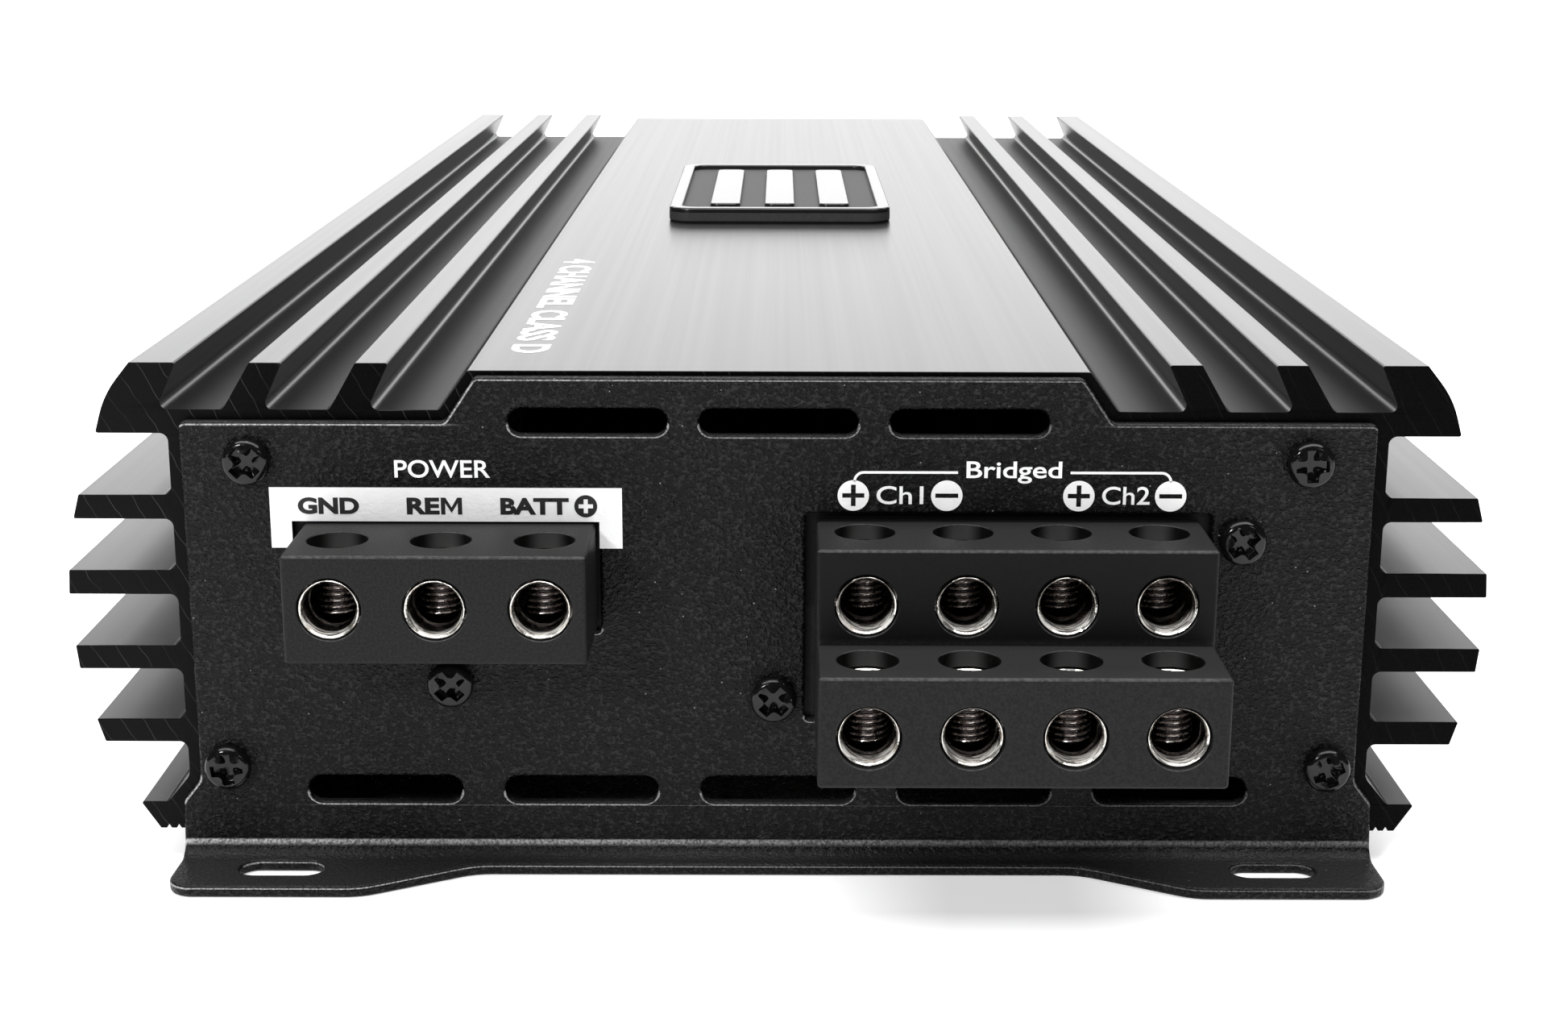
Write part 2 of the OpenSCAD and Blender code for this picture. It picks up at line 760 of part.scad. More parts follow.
led(knob_rows[1], "#c8322c");  // protect_led
main_circuit_board();
control_board();
board_connector();
board_standoffs();
board_screws();
transformer_core();
transformer_winding();
input_choke_core();
input_choke_winding();
input_capacitors();
rail_capacitors();
power_transistors();
thermal_pads();
transistor_clamp_bars();
clamp_bar_screws();
fuse_holders();
blade_fuses();
output_inductors();
integrated_circuits();
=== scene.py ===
"""Looks of the car amplifier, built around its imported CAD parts.

Shapes are made in millimetres and turned into metres when a piece is made. Both ends are
built as seen from outside, outwards towards -Y, and then put at the front or at the rear.
"""
import math
from functools import reduce

import bmesh
import bpy
from mathutils import Matrix, Vector, noise


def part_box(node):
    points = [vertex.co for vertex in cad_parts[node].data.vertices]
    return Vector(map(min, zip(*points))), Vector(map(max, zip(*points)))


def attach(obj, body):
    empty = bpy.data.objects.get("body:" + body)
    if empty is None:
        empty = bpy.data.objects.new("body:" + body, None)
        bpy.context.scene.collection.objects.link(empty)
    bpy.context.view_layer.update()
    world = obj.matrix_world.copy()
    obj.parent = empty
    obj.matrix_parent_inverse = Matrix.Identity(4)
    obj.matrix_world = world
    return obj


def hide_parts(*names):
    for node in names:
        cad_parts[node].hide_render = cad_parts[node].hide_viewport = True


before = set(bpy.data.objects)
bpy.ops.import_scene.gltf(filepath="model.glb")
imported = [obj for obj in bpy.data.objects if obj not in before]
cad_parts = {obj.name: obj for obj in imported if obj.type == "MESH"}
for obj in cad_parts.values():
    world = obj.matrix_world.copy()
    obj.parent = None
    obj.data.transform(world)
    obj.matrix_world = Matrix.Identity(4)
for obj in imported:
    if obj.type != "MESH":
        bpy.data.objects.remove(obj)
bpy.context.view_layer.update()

# ---------------------------------------------------------------- sizes, in millimetres
MM = 0.001
ROOT = "amplifier"


def box_mm(node):
    return tuple(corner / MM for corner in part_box(node))


body_low, body_high = box_mm("heatsink")
badge_low, badge_high = box_mm("badge")
plate_t = 1.5
front_y = body_low.y - plate_t
rear_y = body_high.y + plate_t
AT_FRONT = Matrix.Translation((0, front_y, 0))
AT_REAR = Matrix.Translation((0, rear_y, 0)) @ Matrix.Rotation(math.pi, 4, "Z")

# Bent end plates
bend_r = 2.0
bend_z = bend_r + plate_t
bend_length = (bend_r + plate_t / 2) * math.pi / 2
bend_w = 144.8
flange_out = 10.0
slot_x, slot_y, slot_len, slot_w = 59.7, -4.35, 10.2, 4.2
top_vents = [i * 22.3 for i in (-1, 0, 1)]
bottom_vents = [i * 23.8 for i in range(-2, 3)]
corner_screws = [(62.2, 50.8), (66.4, 12.9)]
through_d = 3.2

# Screws
head_r, head_h, shank_r, screw_pitch = 2.8, 2.1, 1.28, 0.5

# Terminal blocks: deck, mouth of the wires and screw place, outwards negative
power_x, power_pitch = -38.75, 11.9
speaker_x, speaker_pitch = 27.13, 11.4
terminal_depth = 11.0
top_wall = 1.9
clamp_w, clamp_len, nose_len = 8.6, 12.5, 2.5
wire_r, inner_wire_r, nose_r = 3.0, 2.8, 3.45
clamp_screw_r, clamp_screw_len = 2.45, 6.0
thread_pitch = 0.75
tip_above_floor = 0.4
board_top = 16.5
power_fixing = [(-39.2, 23.5)]
speaker_fixings = [(54.7, 41.4), (-0.54, 21.7)]


class Wire:
    """One wire hole: its place, the y of its mouth and of its screw, how deep it stays wide,
    the top of its deck and the y of its clamp's tail."""

    def __init__(self, x, z, mouth, screw_y, wide, deck_top, tail_y):
        self.x, self.z, self.mouth, self.screw_y = x, z, mouth, screw_y
        self.wide, self.deck_top, self.tail_y = wide, deck_top, tail_y


power_wires = [Wire(power_x + i * power_pitch, 36.9, -14, -7.1, 4, 43.2, 12.5)
               for i in (-1, 0, 1)]
upper_wires = [Wire(speaker_x + i * speaker_pitch, 36.9, -12, -4.1, 5, 43.5, 17)
               for i in (-1.5, -0.5, 0.5, 1.5)]
lower_wires = [Wire(speaker_x + i * speaker_pitch, 25.2, -23, -17.1, 3, 32.2, 12.5)
               for i in (-1.5, -0.5, 0.5, 1.5)]

# Rear end, x to the right when seen from behind
rca_x, rca_pitch, rca_rows, rca_out = -42.0, 14.0, (24.2, 38.2), 9.5
knob_rows = (39.0, 24.0)
knob_places = {"front_level_knob": (-16, 39), "rear_level_knob": (-16, 24),
               "high_pass_knob": (0, 39), "low_pass_knob": (0, 24), "bass_boost_knob": (33, 24)}
lever_places = {"front_crossover_lever": (17, 39), "rear_crossover_lever": (17, 24),
                "input_mode_lever": (33, 39)}
led_x = 52.0


# ---------------------------------------------------------------- mesh tools
def arc(cx, cy, r, start, end, steps=8):
    """Points on a circle from one angle to another, in degrees."""
    angles = [math.radians(start + (end - start) * i / steps) for i in range(steps + 1)]
    return [(cx + r * math.cos(a), cy + r * math.sin(a)) for a in angles]


def circle(cx, cy, r):
    return arc(cx, cy, r, 0, 360, 40)[:-1]


def rounded(points, per_turn=48):
    """An outline of (x, y, corner radius) points, with its corners rounded."""
    out = []
    for i, (bx, by, r) in enumerate(points):
        b = Vector((bx, by))
        if r == 0:
            out.append(tuple(b))
            continue
        u = (Vector(points[i - 1][:2]) - b).normalized()
        w = (Vector(points[(i + 1) % len(points)][:2]) - b).normalized()
        half = math.acos(max(-1.0, min(1.0, u.dot(w)))) / 2
        centre = b + (u + w).normalized() * r / math.sin(half)
        start = b + u * r / math.tan(half) - centre
        end = b + w * r / math.tan(half) - centre
        turn = math.pi - 2 * half
        if start.x * end.y - start.y * end.x < 0:
            turn = -turn
        steps = max(2, round(abs(turn) / (2 * math.pi) * per_turn))
        for k in range(steps + 1):
            a = turn * k / steps
            out.append((centre.x + start.x * math.cos(a) - start.y * math.sin(a),
                        centre.y + start.x * math.sin(a) + start.y * math.cos(a)))
    return out


def both_sides(half):
    return list(half) + [(-x, y, r) for x, y, r in reversed(half)]


def rectangle(x0, y0, x1, y1, r=0.0):
    return rounded([(x0, y0, r), (x1, y0, r), (x1, y1, r), (x0, y1, r)])


def slot_outline(cx, cy, length, width):
    straight, r = (length - width) / 2, width / 2
    return arc(cx + straight, cy, r, -90, 90, 12) + arc(cx - straight, cy, r, 90, 270, 12)


def evaluated(obj):
    """A bmesh of an object with its modifiers, and the object is gone."""
    bpy.context.scene.collection.objects.link(obj)
    graph = bpy.context.evaluated_depsgraph_get()
    graph.update()
    mesh = bpy.data.meshes.new_from_object(obj.evaluated_get(graph))
    bm = bmesh.new()
    bm.from_mesh(mesh)
    bpy.data.meshes.remove(mesh)
    bpy.data.objects.remove(obj)
    return bm


def prism(outline, depth, holes=(), edge=0.0, rings=2):
    """An outline in X and Y, filled and drawn out from z = 0 to depth, with rounded edges."""
    curve = bpy.data.curves.new("outline", "CURVE")
    curve.dimensions = "2D"
    curve.fill_mode = "BOTH"
    curve.extrude = depth / 2 - edge
    curve.bevel_depth = edge
    curve.bevel_resolution = rings
    curve.offset = -edge
    for ring in (outline, *holes):
        spline = curve.splines.new("POLY")
        spline.points.add(len(ring) - 1)
        for point, (x, y) in zip(spline.points, ring):
            point.co = (x, y, 0, 1)
        spline.use_cyclic_u = True
    bm = evaluated(bpy.data.objects.new("outline", curve))
    bpy.data.curves.remove(curve)
    bmesh.ops.remove_doubles(bm, verts=bm.verts, dist=0.002)
    bmesh.ops.translate(bm, verts=bm.verts, vec=(0, 0, depth / 2))
    bmesh.ops.recalc_face_normals(bm, faces=bm.faces)
    return bm


def spun(rings, segments=40, closed=False):
    """A turned shape about Z from (radius, height) rings. Either may be a function of the angle."""
    bm = bmesh.new()
    rows = []
    for radius, height in rings:
        if radius == 0:
            rows.append([bm.verts.new((0, 0, height))])
            continue
        row = []
        for i in range(segments):
            a = 2 * math.pi * i / segments
            r = radius(a) if callable(radius) else radius
            h = height(a) if callable(height) else height
            row.append(bm.verts.new((r * math.cos(a), r * math.sin(a), h)))
        rows.append(row)
    pairs = list(zip(rows, rows[1:]))
    if closed:
        pairs.append((rows[-1], rows[0]))
    for low, high in pairs:
        for i in range(segments):
            j = (i + 1) % segments
            corners = [low[i % len(low)], low[j % len(low)],
                       high[j % len(high)], high[i % len(high)]]
            corners = list(dict.fromkeys(corners))
            if len(corners) > 2:
                bm.faces.new(corners)
    bmesh.ops.recalc_face_normals(bm, faces=bm.faces)
    return bm


def rod(r, start, end, segments=40):
    return spun([(0, start), (r, start), (r, end), (0, end)], segments)


def loft(outlines):
    """A closed shape through outlines of equal length, each given as (points, height)."""
    bm = bmesh.new()
    rows = [[bm.verts.new((x, y, h)) for x, y in points] for points, h in outlines]
    for low, high in zip(rows, rows[1:]):
        for i in range(len(low)):
            j = (i + 1) % len(low)
            bm.faces.new([low[i], low[j], high[j], high[i]])
    bm.faces.new(list(reversed(rows[0])))
    bm.faces.new(rows[-1])
    bmesh.ops.recalc_face_normals(bm, faces=bm.faces)
    return bm


def block(low, high, edge=0.0, segments=3):
    """A box between two corners, with rounded edges."""
    bm = bmesh.new()
    size = Vector(high) - Vector(low)
    bmesh.ops.create_cube(bm, size=1)
    bmesh.ops.scale(bm, verts=bm.verts, vec=size)
    bmesh.ops.translate(bm, verts=bm.verts, vec=Vector(low) + size / 2)
    if edge:
        bmesh.ops.bevel(bm, geom=bm.edges[:], offset=edge, segments=segments, profile=0.5,
                        affect="EDGES")
    return bm


def joined(*parts):
    """All the parts in one bmesh. The parts are used up."""
    whole = bmesh.new()
    for part in parts:
        mesh = bpy.data.meshes.new("part")
        part.to_mesh(mesh)
        part.free()
        whole.from_mesh(mesh)
        bpy.data.meshes.remove(mesh)
    return whole


def moved(bm, *matrices):
    for matrix in matrices:
        bm.transform(matrix)
    return bm


def shift(x=0.0, y=0.0, z=0.0):
    return Matrix.Translation((x, y, z))


def spin(angle, axis="Z"):
    return Matrix.Rotation(math.radians(angle), 4, axis)


INWARD = spin(-90, "X")     # what was made along +Z runs along +Y
OUTWARD = spin(90, "X")     # what was drawn in X and Y stands upright and faces -Y


def boolean(body, other, operation):
    objects = []
    for name, bm in (("body", body), ("other", other)):
        mesh = bpy.data.meshes.new(name)
        bm.to_mesh(mesh)
        bm.free()
        objects.append(bpy.data.objects.new(name, mesh))
    bpy.context.scene.collection.objects.link(objects[1])
    modifier = objects[0].modifiers.new("boolean", "BOOLEAN")
    modifier.object = objects[1]
    modifier.operation = operation
    modifier.solver = "EXACT"
    result = evaluated(objects[0])
    bpy.data.objects.remove(objects[1])
    bmesh.ops.remove_doubles(result, verts=result.verts, dist=0.001)
    return result


def cut(body, *cutters):
    return boolean(body, joined(*cutters), "DIFFERENCE")


def piece(name, bm, material, body=ROOT, replaces=(), place=None, sharp=32, even=True):
    """Makes a finished piece from a bmesh in millimetres and lets it ride on its body."""
    if place is not None:
        bm.transform(place)
    bm.transform(Matrix.Scale(MM, 4))
    for face in bm.faces:
        face.smooth = True
    for edge in bm.edges:
        edge.smooth = not edge.is_manifold or edge.calc_face_angle(0) < math.radians(sharp)
    mesh = bpy.data.meshes.new(name)
    bm.to_mesh(mesh)
    bm.free()
    mesh.materials.append(material)
    obj = bpy.data.objects.new(name, mesh)
    bpy.context.scene.collection.objects.link(obj)
    if even:
        normals = obj.modifiers.new("even_normals", "WEIGHTED_NORMAL")
        normals.keep_sharp = True
        normals.weight = 100
    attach(obj, body)
    if replaces:
        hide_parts(*replaces)
    return obj


# ---------------------------------------------------------------- materials
class Look:
    """A procedural material: one Principled shader and the nodes that feed it."""

    def __init__(self, name, colour, roughness, metallic=0.0, specular=0.5, coat=0.0):
        self.material = bpy.data.materials.new(name)
        self.material.use_nodes = True
        self.nodes = self.material.node_tree.nodes
        self.links = self.material.node_tree.links
        self.shader = self.nodes["Principled BSDF"]
        self.shader.inputs["Base Color"].default_value = (*colour, 1)
        self.shader.inputs["Roughness"].default_value = roughness
        self.shader.inputs["Metallic"].default_value = metallic
        self.shader.inputs["Specular IOR Level"].default_value = specular
        self.shader.inputs["Coat Weight"].default_value = coat
        self.normal = None
        self.places = self.nodes.new("ShaderNodeTexCoord")

    def feed(self, socket, value):
        if isinstance(value, bpy.types.NodeSocket):
            self.links.new(value, socket)
        else:
            socket.default_value = value

    def stretched(self, stretch=(1, 1, 1)):
        """Object coordinates in millimetres, each axis times its own factor."""
        node = self.nodes.new("ShaderNodeVectorMath")
        node.operation = "MULTIPLY"
        self.links.new(self.places.outputs["Object"], node.inputs[0])
        node.inputs[1].default_value = [s / MM for s in stretch]
        return node.outputs[0]

    def facing(self, axis):
        """How much the surface faces along an axis of the object: 1 along it, -1 against it."""
        node = self.nodes.new("ShaderNodeSeparateXYZ")
        self.links.new(self.places.outputs["Normal"], node.inputs[0])
        return node.outputs[axis]

    def at(self, axis):
        """Place in millimetres on the X, Y or Z axis of the object."""
        return self.along([float(axis == name) for name in "XYZ"])

    def along(self, direction):
        """Distance in millimetres along a direction of the object."""
        node = self.nodes.new("ShaderNodeVectorMath")
        node.operation = "DOT_PRODUCT"
        self.links.new(self.stretched(), node.inputs[0])
        node.inputs[1].default_value = direction
        return node.outputs["Value"]

    def math(self, operation, a, b=0.0, c=0.0):
        node = self.nodes.new("ShaderNodeMath")
        node.operation = operation
        for socket, value in zip(node.inputs, (a, b, c)):
            self.feed(socket, value)
        return node.outputs[0]

    def chain(self, operation, values):
        """One operation over all the values, from the first to the last."""
        return reduce(lambda a, b: self.math(operation, a, b), values)

    def times(self, *values):
        return self.chain("MULTIPLY", values)

    def plus(self, *values):
        return self.chain("ADD", values)

    def largest(self, *values):
        return self.chain("MAXIMUM", values)

    def minus(self, a, b):
        return self.math("SUBTRACT", a, b)

    def absolute(self, a):
        return self.math("ABSOLUTE", a)

    def wrapped(self, value, start, pitch):
        """Distance, with its sign, from the nearest of places one pitch apart."""
        return self.math("WRAP", self.minus(value, start), pitch / 2, -pitch / 2)

    def noise(self, per_mm, stretch=(1, 1, 1), detail=2.0, rough=0.5):
        node = self.nodes.new("ShaderNodeTexNoise")
        self.links.new(self.stretched([s * per_mm for s in stretch]), node.inputs["Vector"])
        node.inputs["Scale"].default_value = 1.0
        node.inputs["Detail"].default_value = detail
        node.inputs["Roughness"].default_value = rough
        return node.outputs["Fac"]

    def cells(self, per_mm, output="Distance"):
        node = self.nodes.new("ShaderNodeTexVoronoi")
        self.links.new(self.stretched([per_mm] * 3), node.inputs["Vector"])
        node.inputs["Scale"].default_value = 1.0
        return node.outputs[output]

    def remap(self, value, low, high, to_low=0.0, to_high=1.0):
        node = self.nodes.new("ShaderNodeMapRange")
        node.interpolation_type = "SMOOTHSTEP"
        for socket, v in zip(node.inputs, (value, low, high, to_low, to_high)):
            self.feed(socket, v)
        return node.outputs[0]

    def fall(self, value, low, high):
        """1 up to low and 0 from high on."""
        return self.remap(value, low, high, 1.0, 0.0)

    def mix(self, share, a, b):
        """Colour a where share is 0 and b where it is 1."""
        node = self.nodes.new("ShaderNodeMix")
        node.data_type = "RGBA"
        self.feed(node.inputs[0], share)
        for socket, colour in ((node.inputs[6], a), (node.inputs[7], b)):
            self.feed(socket, colour if isinstance(colour, bpy.types.NodeSocket) else (*colour, 1))
        return node.outputs[2]

    def bump(self, height, depth, strength=1.0):
        """Adds relief, depth in millimetres for a height of 1."""
        node = self.nodes.new("ShaderNodeBump")
        node.inputs["Distance"].default_value = depth * MM
        self.feed(node.inputs["Strength"], strength)
        self.links.new(height, node.inputs["Height"])
        if self.normal is not None:
            self.links.new(self.normal, node.inputs["Normal"])
        self.normal = node.outputs["Normal"]
        self.links.new(self.normal, self.shader.inputs["Normal"])

    def colour(self, socket):
        self.links.new(socket, self.shader.inputs["Base Color"])

    def rough(self, socket):
        self.links.new(socket, self.shader.inputs["Roughness"])

    def uneven(self, wander, smooth, dull):
        """Roughness that wanders between two values."""
        self.rough(self.remap(wander, 0.3, 0.7, smooth, dull))

    def metal(self, socket):
        self.links.new(socket, self.shader.inputs["Metallic"])


def grey(v, warm=0.0):
    return (v * (1 + warm), v, v * (1 - warm))


def tint(colour, factor):
    return tuple(c * factor for c in colour)


def anodised():
    """Black anodised extrusion: lengthwise drawing lines outside, saw marks on the cut ends. Painted
    shade darkens the slopes and valleys between the fins and the lower side fins, more so on the
    right; the cut ends are painted lighter towards the left.
    """
    look = Look("anodised_aluminium", grey(0.1), 0.3, metallic=1.0, specular=0.12)
    end = look.remap(look.absolute(look.facing("Y")), 0.75, 0.9)
    lines = look.noise(5, (1, 0.004, 1), detail=3, rough=0.65)
    streaks = look.noise(0.8, (1, 0.003, 1), detail=4, rough=0.7)
    scratch = look.remap(look.noise(2.2, (1, 0.0015, 1), detail=1), 0.74, 0.77)
    side = look.mix(streaks, grey(0.068), grey(0.074))
    side = look.mix(look.times(scratch, 0.25), side, grey(0.05))
    across = look.along((0.87, 0, 0.5))
    jitter = look.times(look.noise(0.2), 1.6)
    stroke = look.math("FRACT", look.times(look.plus(across, jitter), 0.42))
    stroke = look.remap(stroke, 0.05, 0.0)
    patchy = look.remap(look.noise(0.16), 0.4, 0.6, 0.3, 1.0)
    patchy = look.times(patchy, look.remap(look.at("X"), -10, 40, 1.0, 0.2))
    stroke = look.times(stroke, patchy)
    grain = look.noise(3.5, detail=3)
    raw_end_and_light = look.mix(grain, grey(0.002), grey(0.006))
    # painted light: the cut ends are painted lighter towards the left, where the light falls on them
    raw_end_and_light = look.mix(look.remap(look.at("X"), -80, -50, 0.6, 0.0), raw_end_and_light, grey(0.012))
    sawn = look.mix(stroke, raw_end_and_light, grey(0.05))
    height = look.at("Z")
    # painted shade: slopes and valley floors of the fins are picked out here and painted nearly
    # black below; slopes further out are painted less dark
    slope = look.fall(look.facing("Z"), 0.8, 0.95)
    low = look.fall(height, 58.5, 60.5)
    groove = look.times(look.largest(slope, low), look.remap(height, 54.5, 55.5))
    out = look.absolute(look.at("X"))
    bare = look.times(slope, look.remap(out, 39.0, 43.0, 0.0, 0.4))
    groove = look.times(groove, look.minus(1.0, bare))
    side = look.mix(look.times(groove, 0.9), side, grey(0.002))
    matt = look.times(groove, look.remap(slope, 0, 1, 0.9, 0.3))
    # painted shade: the lower side fins, more so on the right, are made less metallic so that they
    # look darker
    fins = look.times(look.remap(out, 72, 75), look.remap(height, 38, 24, 0.0, 0.4),
                      look.remap(look.at("X"), -10, 10, 0.5, 1.0))
    matt = look.times(look.largest(matt, fins), look.minus(1.0, end))
    look.metal(look.minus(1.0, matt))
    look.colour(look.mix(end, side, sawn))
    satin = look.remap(streaks, 0.3, 0.7, 0.28, 0.3)
    satin = look.plus(satin, look.times(matt, 0.16))
    look.rough(look.plus(satin, look.times(end, 0.24)))
    look.bump(lines, 0.001, look.minus(1.0, end))
    look.bump(grain, 0.03, look.times(end, 0.5))
    return look.material


def wrinkle(look, depth=0.06):
    """Leathery relief of a textured powder coat."""
    look.bump(look.noise(0.45, detail=1), depth, 0.6)
    look.bump(look.noise(2.3, (0.9, 1, 1.15), rough=0.6), depth * 4.5)


def powder_coat(name, base=0.004):
    look = Look(name, grey(base), 0.2, specular=0.125)
    dust = look.remap(look.cells(0.42), 0.045, 0.03)
    mottle = look.noise(1.4, (0.75, 1, 1.35), detail=3)
    coat = look.mix(mottle, grey(base * 0.4), grey(base))
    # painted highlight: the crests of the wrinkle relief are painted lighter
    crests = look.remap(look.noise(2.3, (0.9, 1, 1.15), rough=0.6), 0.5, 0.68)
    coat = look.mix(crests, coat, grey(base * 4.5))
    up = look.facing("Z")
    # painted light: surfaces facing up are painted lighter
    coat = look.mix(look.remap(up, 0.5, 0.9), coat, grey(0.02))
    coat = look.mix(look.times(dust, 0.8), coat, grey(0.25))
    # painted highlight along edges and the bend that face up and outwards, brighter towards the
    # left, broken up by noise
    edge = look.times(look.remap(up, 0.05, 0.15), look.fall(up, 0.2, 0.5),
                      look.remap(look.facing("Y"), -0.3, -0.5),
                      look.remap(look.at("X"), -75, 40, 1.0, 0.3))
    sparkle = look.remap(look.noise(3.4, detail=3), 0.35, 0.62, 0.3, 1.0)
    look.colour(look.mix(look.times(edge, sparkle), coat, grey(0.5)))
    look.uneven(look.noise(3), 0.16, 0.28)
    wrinkle(look)
    return look.material


def moulded(name, colour, speckle=0.35, roughness=0.5, specular=0.4):
    """Moulded plastic with a fine grain and slightly lighter specks."""
    look = Look(name, colour, roughness, specular=specular)
    grain = look.remap(look.noise(3.2, detail=3, rough=0.7), 0.35, 0.65)
    look.colour(look.mix(grain, tint(colour, 1 - speckle), tint(colour, 1 + speckle)))
    look.uneven(look.noise(5), roughness - 0.07, roughness + 0.08)
    look.bump(look.noise(2.6, detail=3, rough=0.6), 0.02)
    return look.material


def terminal_plastic():
    """Fine-grained black plastic. Painted shade darkens the holes over the clamp screws, with a
    painted reflection down the middle of each; tops are painted lighter, the upper front of the
    speaker block is painted darker, and the front top edges carry a painted highlight.
    """
    look = Look("terminal_plastic", grey(0.01), 0.5, specular=0.12)
    x, y, z = (look.at(axis) for axis in "XYZ")
    inside = look.fall(look.facing("Z"), 0.3, 0.6)
    # painted shade inside the holes over the clamp screws, and a painted reflection down the middle
    # of each
    wells, middles = [], []
    for wires in (power_wires, upper_wires, lower_wires):
        first, last = wires[0], wires[-1]
        pitch = wires[1].x - first.x
        aside = look.absolute(look.wrapped(x, first.x, pitch))
        middles.append(look.remap(aside, 0.6, 2.6, 0.8, 0.0))
        off_row = look.absolute(look.minus(y, front_y + first.screw_y))
        off_deck = look.absolute(look.minus(z, first.deck_top - 1.6))
        off_middle = look.absolute(look.minus(x, (first.x + last.x) / 2))
        reach = (last.x - first.x) / 2 + 3.6
        wells.append(look.times(look.fall(off_row, 3.6, 3.8),
                                look.fall(off_deck, 1.4, 1.55),
                                look.fall(off_middle, reach, reach + 0.2)))
    well = look.times(look.largest(*wells), inside)
    middle = look.mix(look.remap(x, -15, -10), middles[0], middles[1])
    grain = look.remap(look.noise(3.2, detail=3, rough=0.7), 0.35, 0.65)
    plastic = look.mix(grain, grey(0.007), grey(0.014))
    up, out = look.facing("Z"), look.facing("Y")
    # painted light: surfaces facing up are painted lighter
    plastic = look.mix(look.remap(up, 0.7, 0.95), plastic, grey(0.022))
    # painted shade: the upper front face of the speaker block is painted darker
    upper = look.times(look.remap(x, 0, 5), look.remap(z, 32.4, 33.2),
                       look.remap(out, -0.7, -0.95))
    plastic = look.mix(upper, plastic, grey(0.003))
    # painted highlight along the front top edges, broken up by noise
    edge = look.times(look.remap(up, 0.2, 0.5), look.remap(out, -0.2, -0.5))
    edge_highlight = look.times(edge, look.remap(look.noise(1.8, detail=3), 0.35, 0.65, 0.4, 1.0))
    plastic = look.mix(edge_highlight, plastic, grey(0.06))
    # painted shade in the holes, lighter down the middle as a painted reflection
    shade = look.mix(middle, grey(0.001), grey(0.055))
    look.colour(look.mix(look.times(well, 0.95), plastic, shade))
    look.uneven(look.noise(5), 0.43, 0.58)
    look.bump(look.noise(2.6, detail=3, rough=0.6), 0.02)
    return look.material


def plated(name, colour, roughness=0.2, turned=14.0, depth=0.012, rows=()):
    """Plated metal with turning marks along its length and a few dents, with painted shade deep in
    its holes and painted shade in patches on the clamp tops.
    """
    look = Look(name, colour, roughness, metallic=1.0)
    bore_shade = (0.14, 0.128, 0.12)
    worn = look.remap(look.noise(0.9, detail=3, rough=0.7), 0.45, 0.75)
    metal = look.mix(worn, colour, tuple(c * f for c, f in zip(colour, (0.62, 0.56, 0.5))))
    mouths = []
    for wires, deeper_below, darker_above in rows:
        wire = wires[0]
        top = wire.deck_top - top_wall - 0.1 - wire.z
        height = look.minus(look.at("Z"), wire.z)
        inwards = look.minus(look.at("Y"), front_y + wire.mouth)
        inwards = look.minus(inwards, look.remap(height, -2.5, 0.5, deeper_below, 0.0))
        inwards = look.plus(inwards, look.remap(height, 0.5, 2.5, 0.0, darker_above))
        row = look.times(look.fall(height, top - 0.6, top - 0.5),
                         look.remap(height, -4.2, -4.0))
        # painted shade: deep in each bore the metal is painted dark; the shade starts deeper in
        # below the axis (deeper_below) and nearer the mouth above it (darker_above)
        metal = look.mix(look.times(row, look.remap(inwards, 0.45, 1.1)), metal, bore_shade)
        mouths.append(look.times(row, look.fall(inwards, 0.6, 1.4),
                                 look.fall(height, -1.8, 0.0)))
        # painted shade: the clamp tops round the screw holes are painted darker in patches
        rim = look.times(look.remap(height, top - 0.6, top - 0.5),
                         look.fall(height, top + 0.2, top + 0.3))
        spots = look.remap(look.noise(0.9), 0.42, 0.58, 1.0, 0.2)
        metal = look.mix(look.times(rim, spots), metal, grey(0.08))
    look.colour(metal)
    look.uneven(look.noise(2.4, detail=3), roughness * 0.6, roughness * 1.6)
    if mouths:
        rings = look.remap(look.noise(1.1, (0.4, 2.6, 0.4)), 0.4, 0.6, 0.1, 0.75)
        look.metal(look.minus(1.0, look.times(look.largest(*mouths), rings)))
    look.bump(look.noise(turned, (0.06, 1, 0.06)), depth)
    look.bump(look.noise(0.9, detail=3, rough=0.6), depth * 4, 0.8)
    return look.material


def threaded_steel(name, x0, pitch, screw_y, foot):
    """Plated threads of one row of screws, with painted highlights along the thread tops and on
    faces turned up, and painted shade in the grooves.
    """
    look = Look(name, grey(0.5), 0.14, metallic=1.0)
    x = look.wrapped(look.at("X"), x0, pitch)
    y = look.minus(look.at("Y"), screw_y)
    z = look.minus(look.at("Z"), foot)
    turn = look.math("DIVIDE", look.math("ARCTAN2", y, x), 2 * math.pi)
    phase = look.math("FRACT", look.minus(look.math("DIVIDE", z, thread_pitch), turn))
    # painted highlight on the thread crests and on faces turned up, painted shade in the grooves
    crest = look.absolute(look.minus(look.times(phase, 2.0), 1.0))
    crest = look.remap(crest, 0.35, 0.85)
    crest = look.largest(crest, look.remap(look.facing("Z"), 0.8, 0.9))
    worn = look.remap(look.noise(1.6, detail=3), 0.35, 0.65)
    bright = look.mix(worn, (0.8, 0.71, 0.67), (0.98, 0.93, 0.91))
    look.colour(look.mix(crest, (0.05, 0.043, 0.043), bright))
    look.uneven(look.noise(2.4, detail=3), 0.18, 0.34)
    look.bump(look.noise(1.8), 0.03, 0.6)
    return look.material


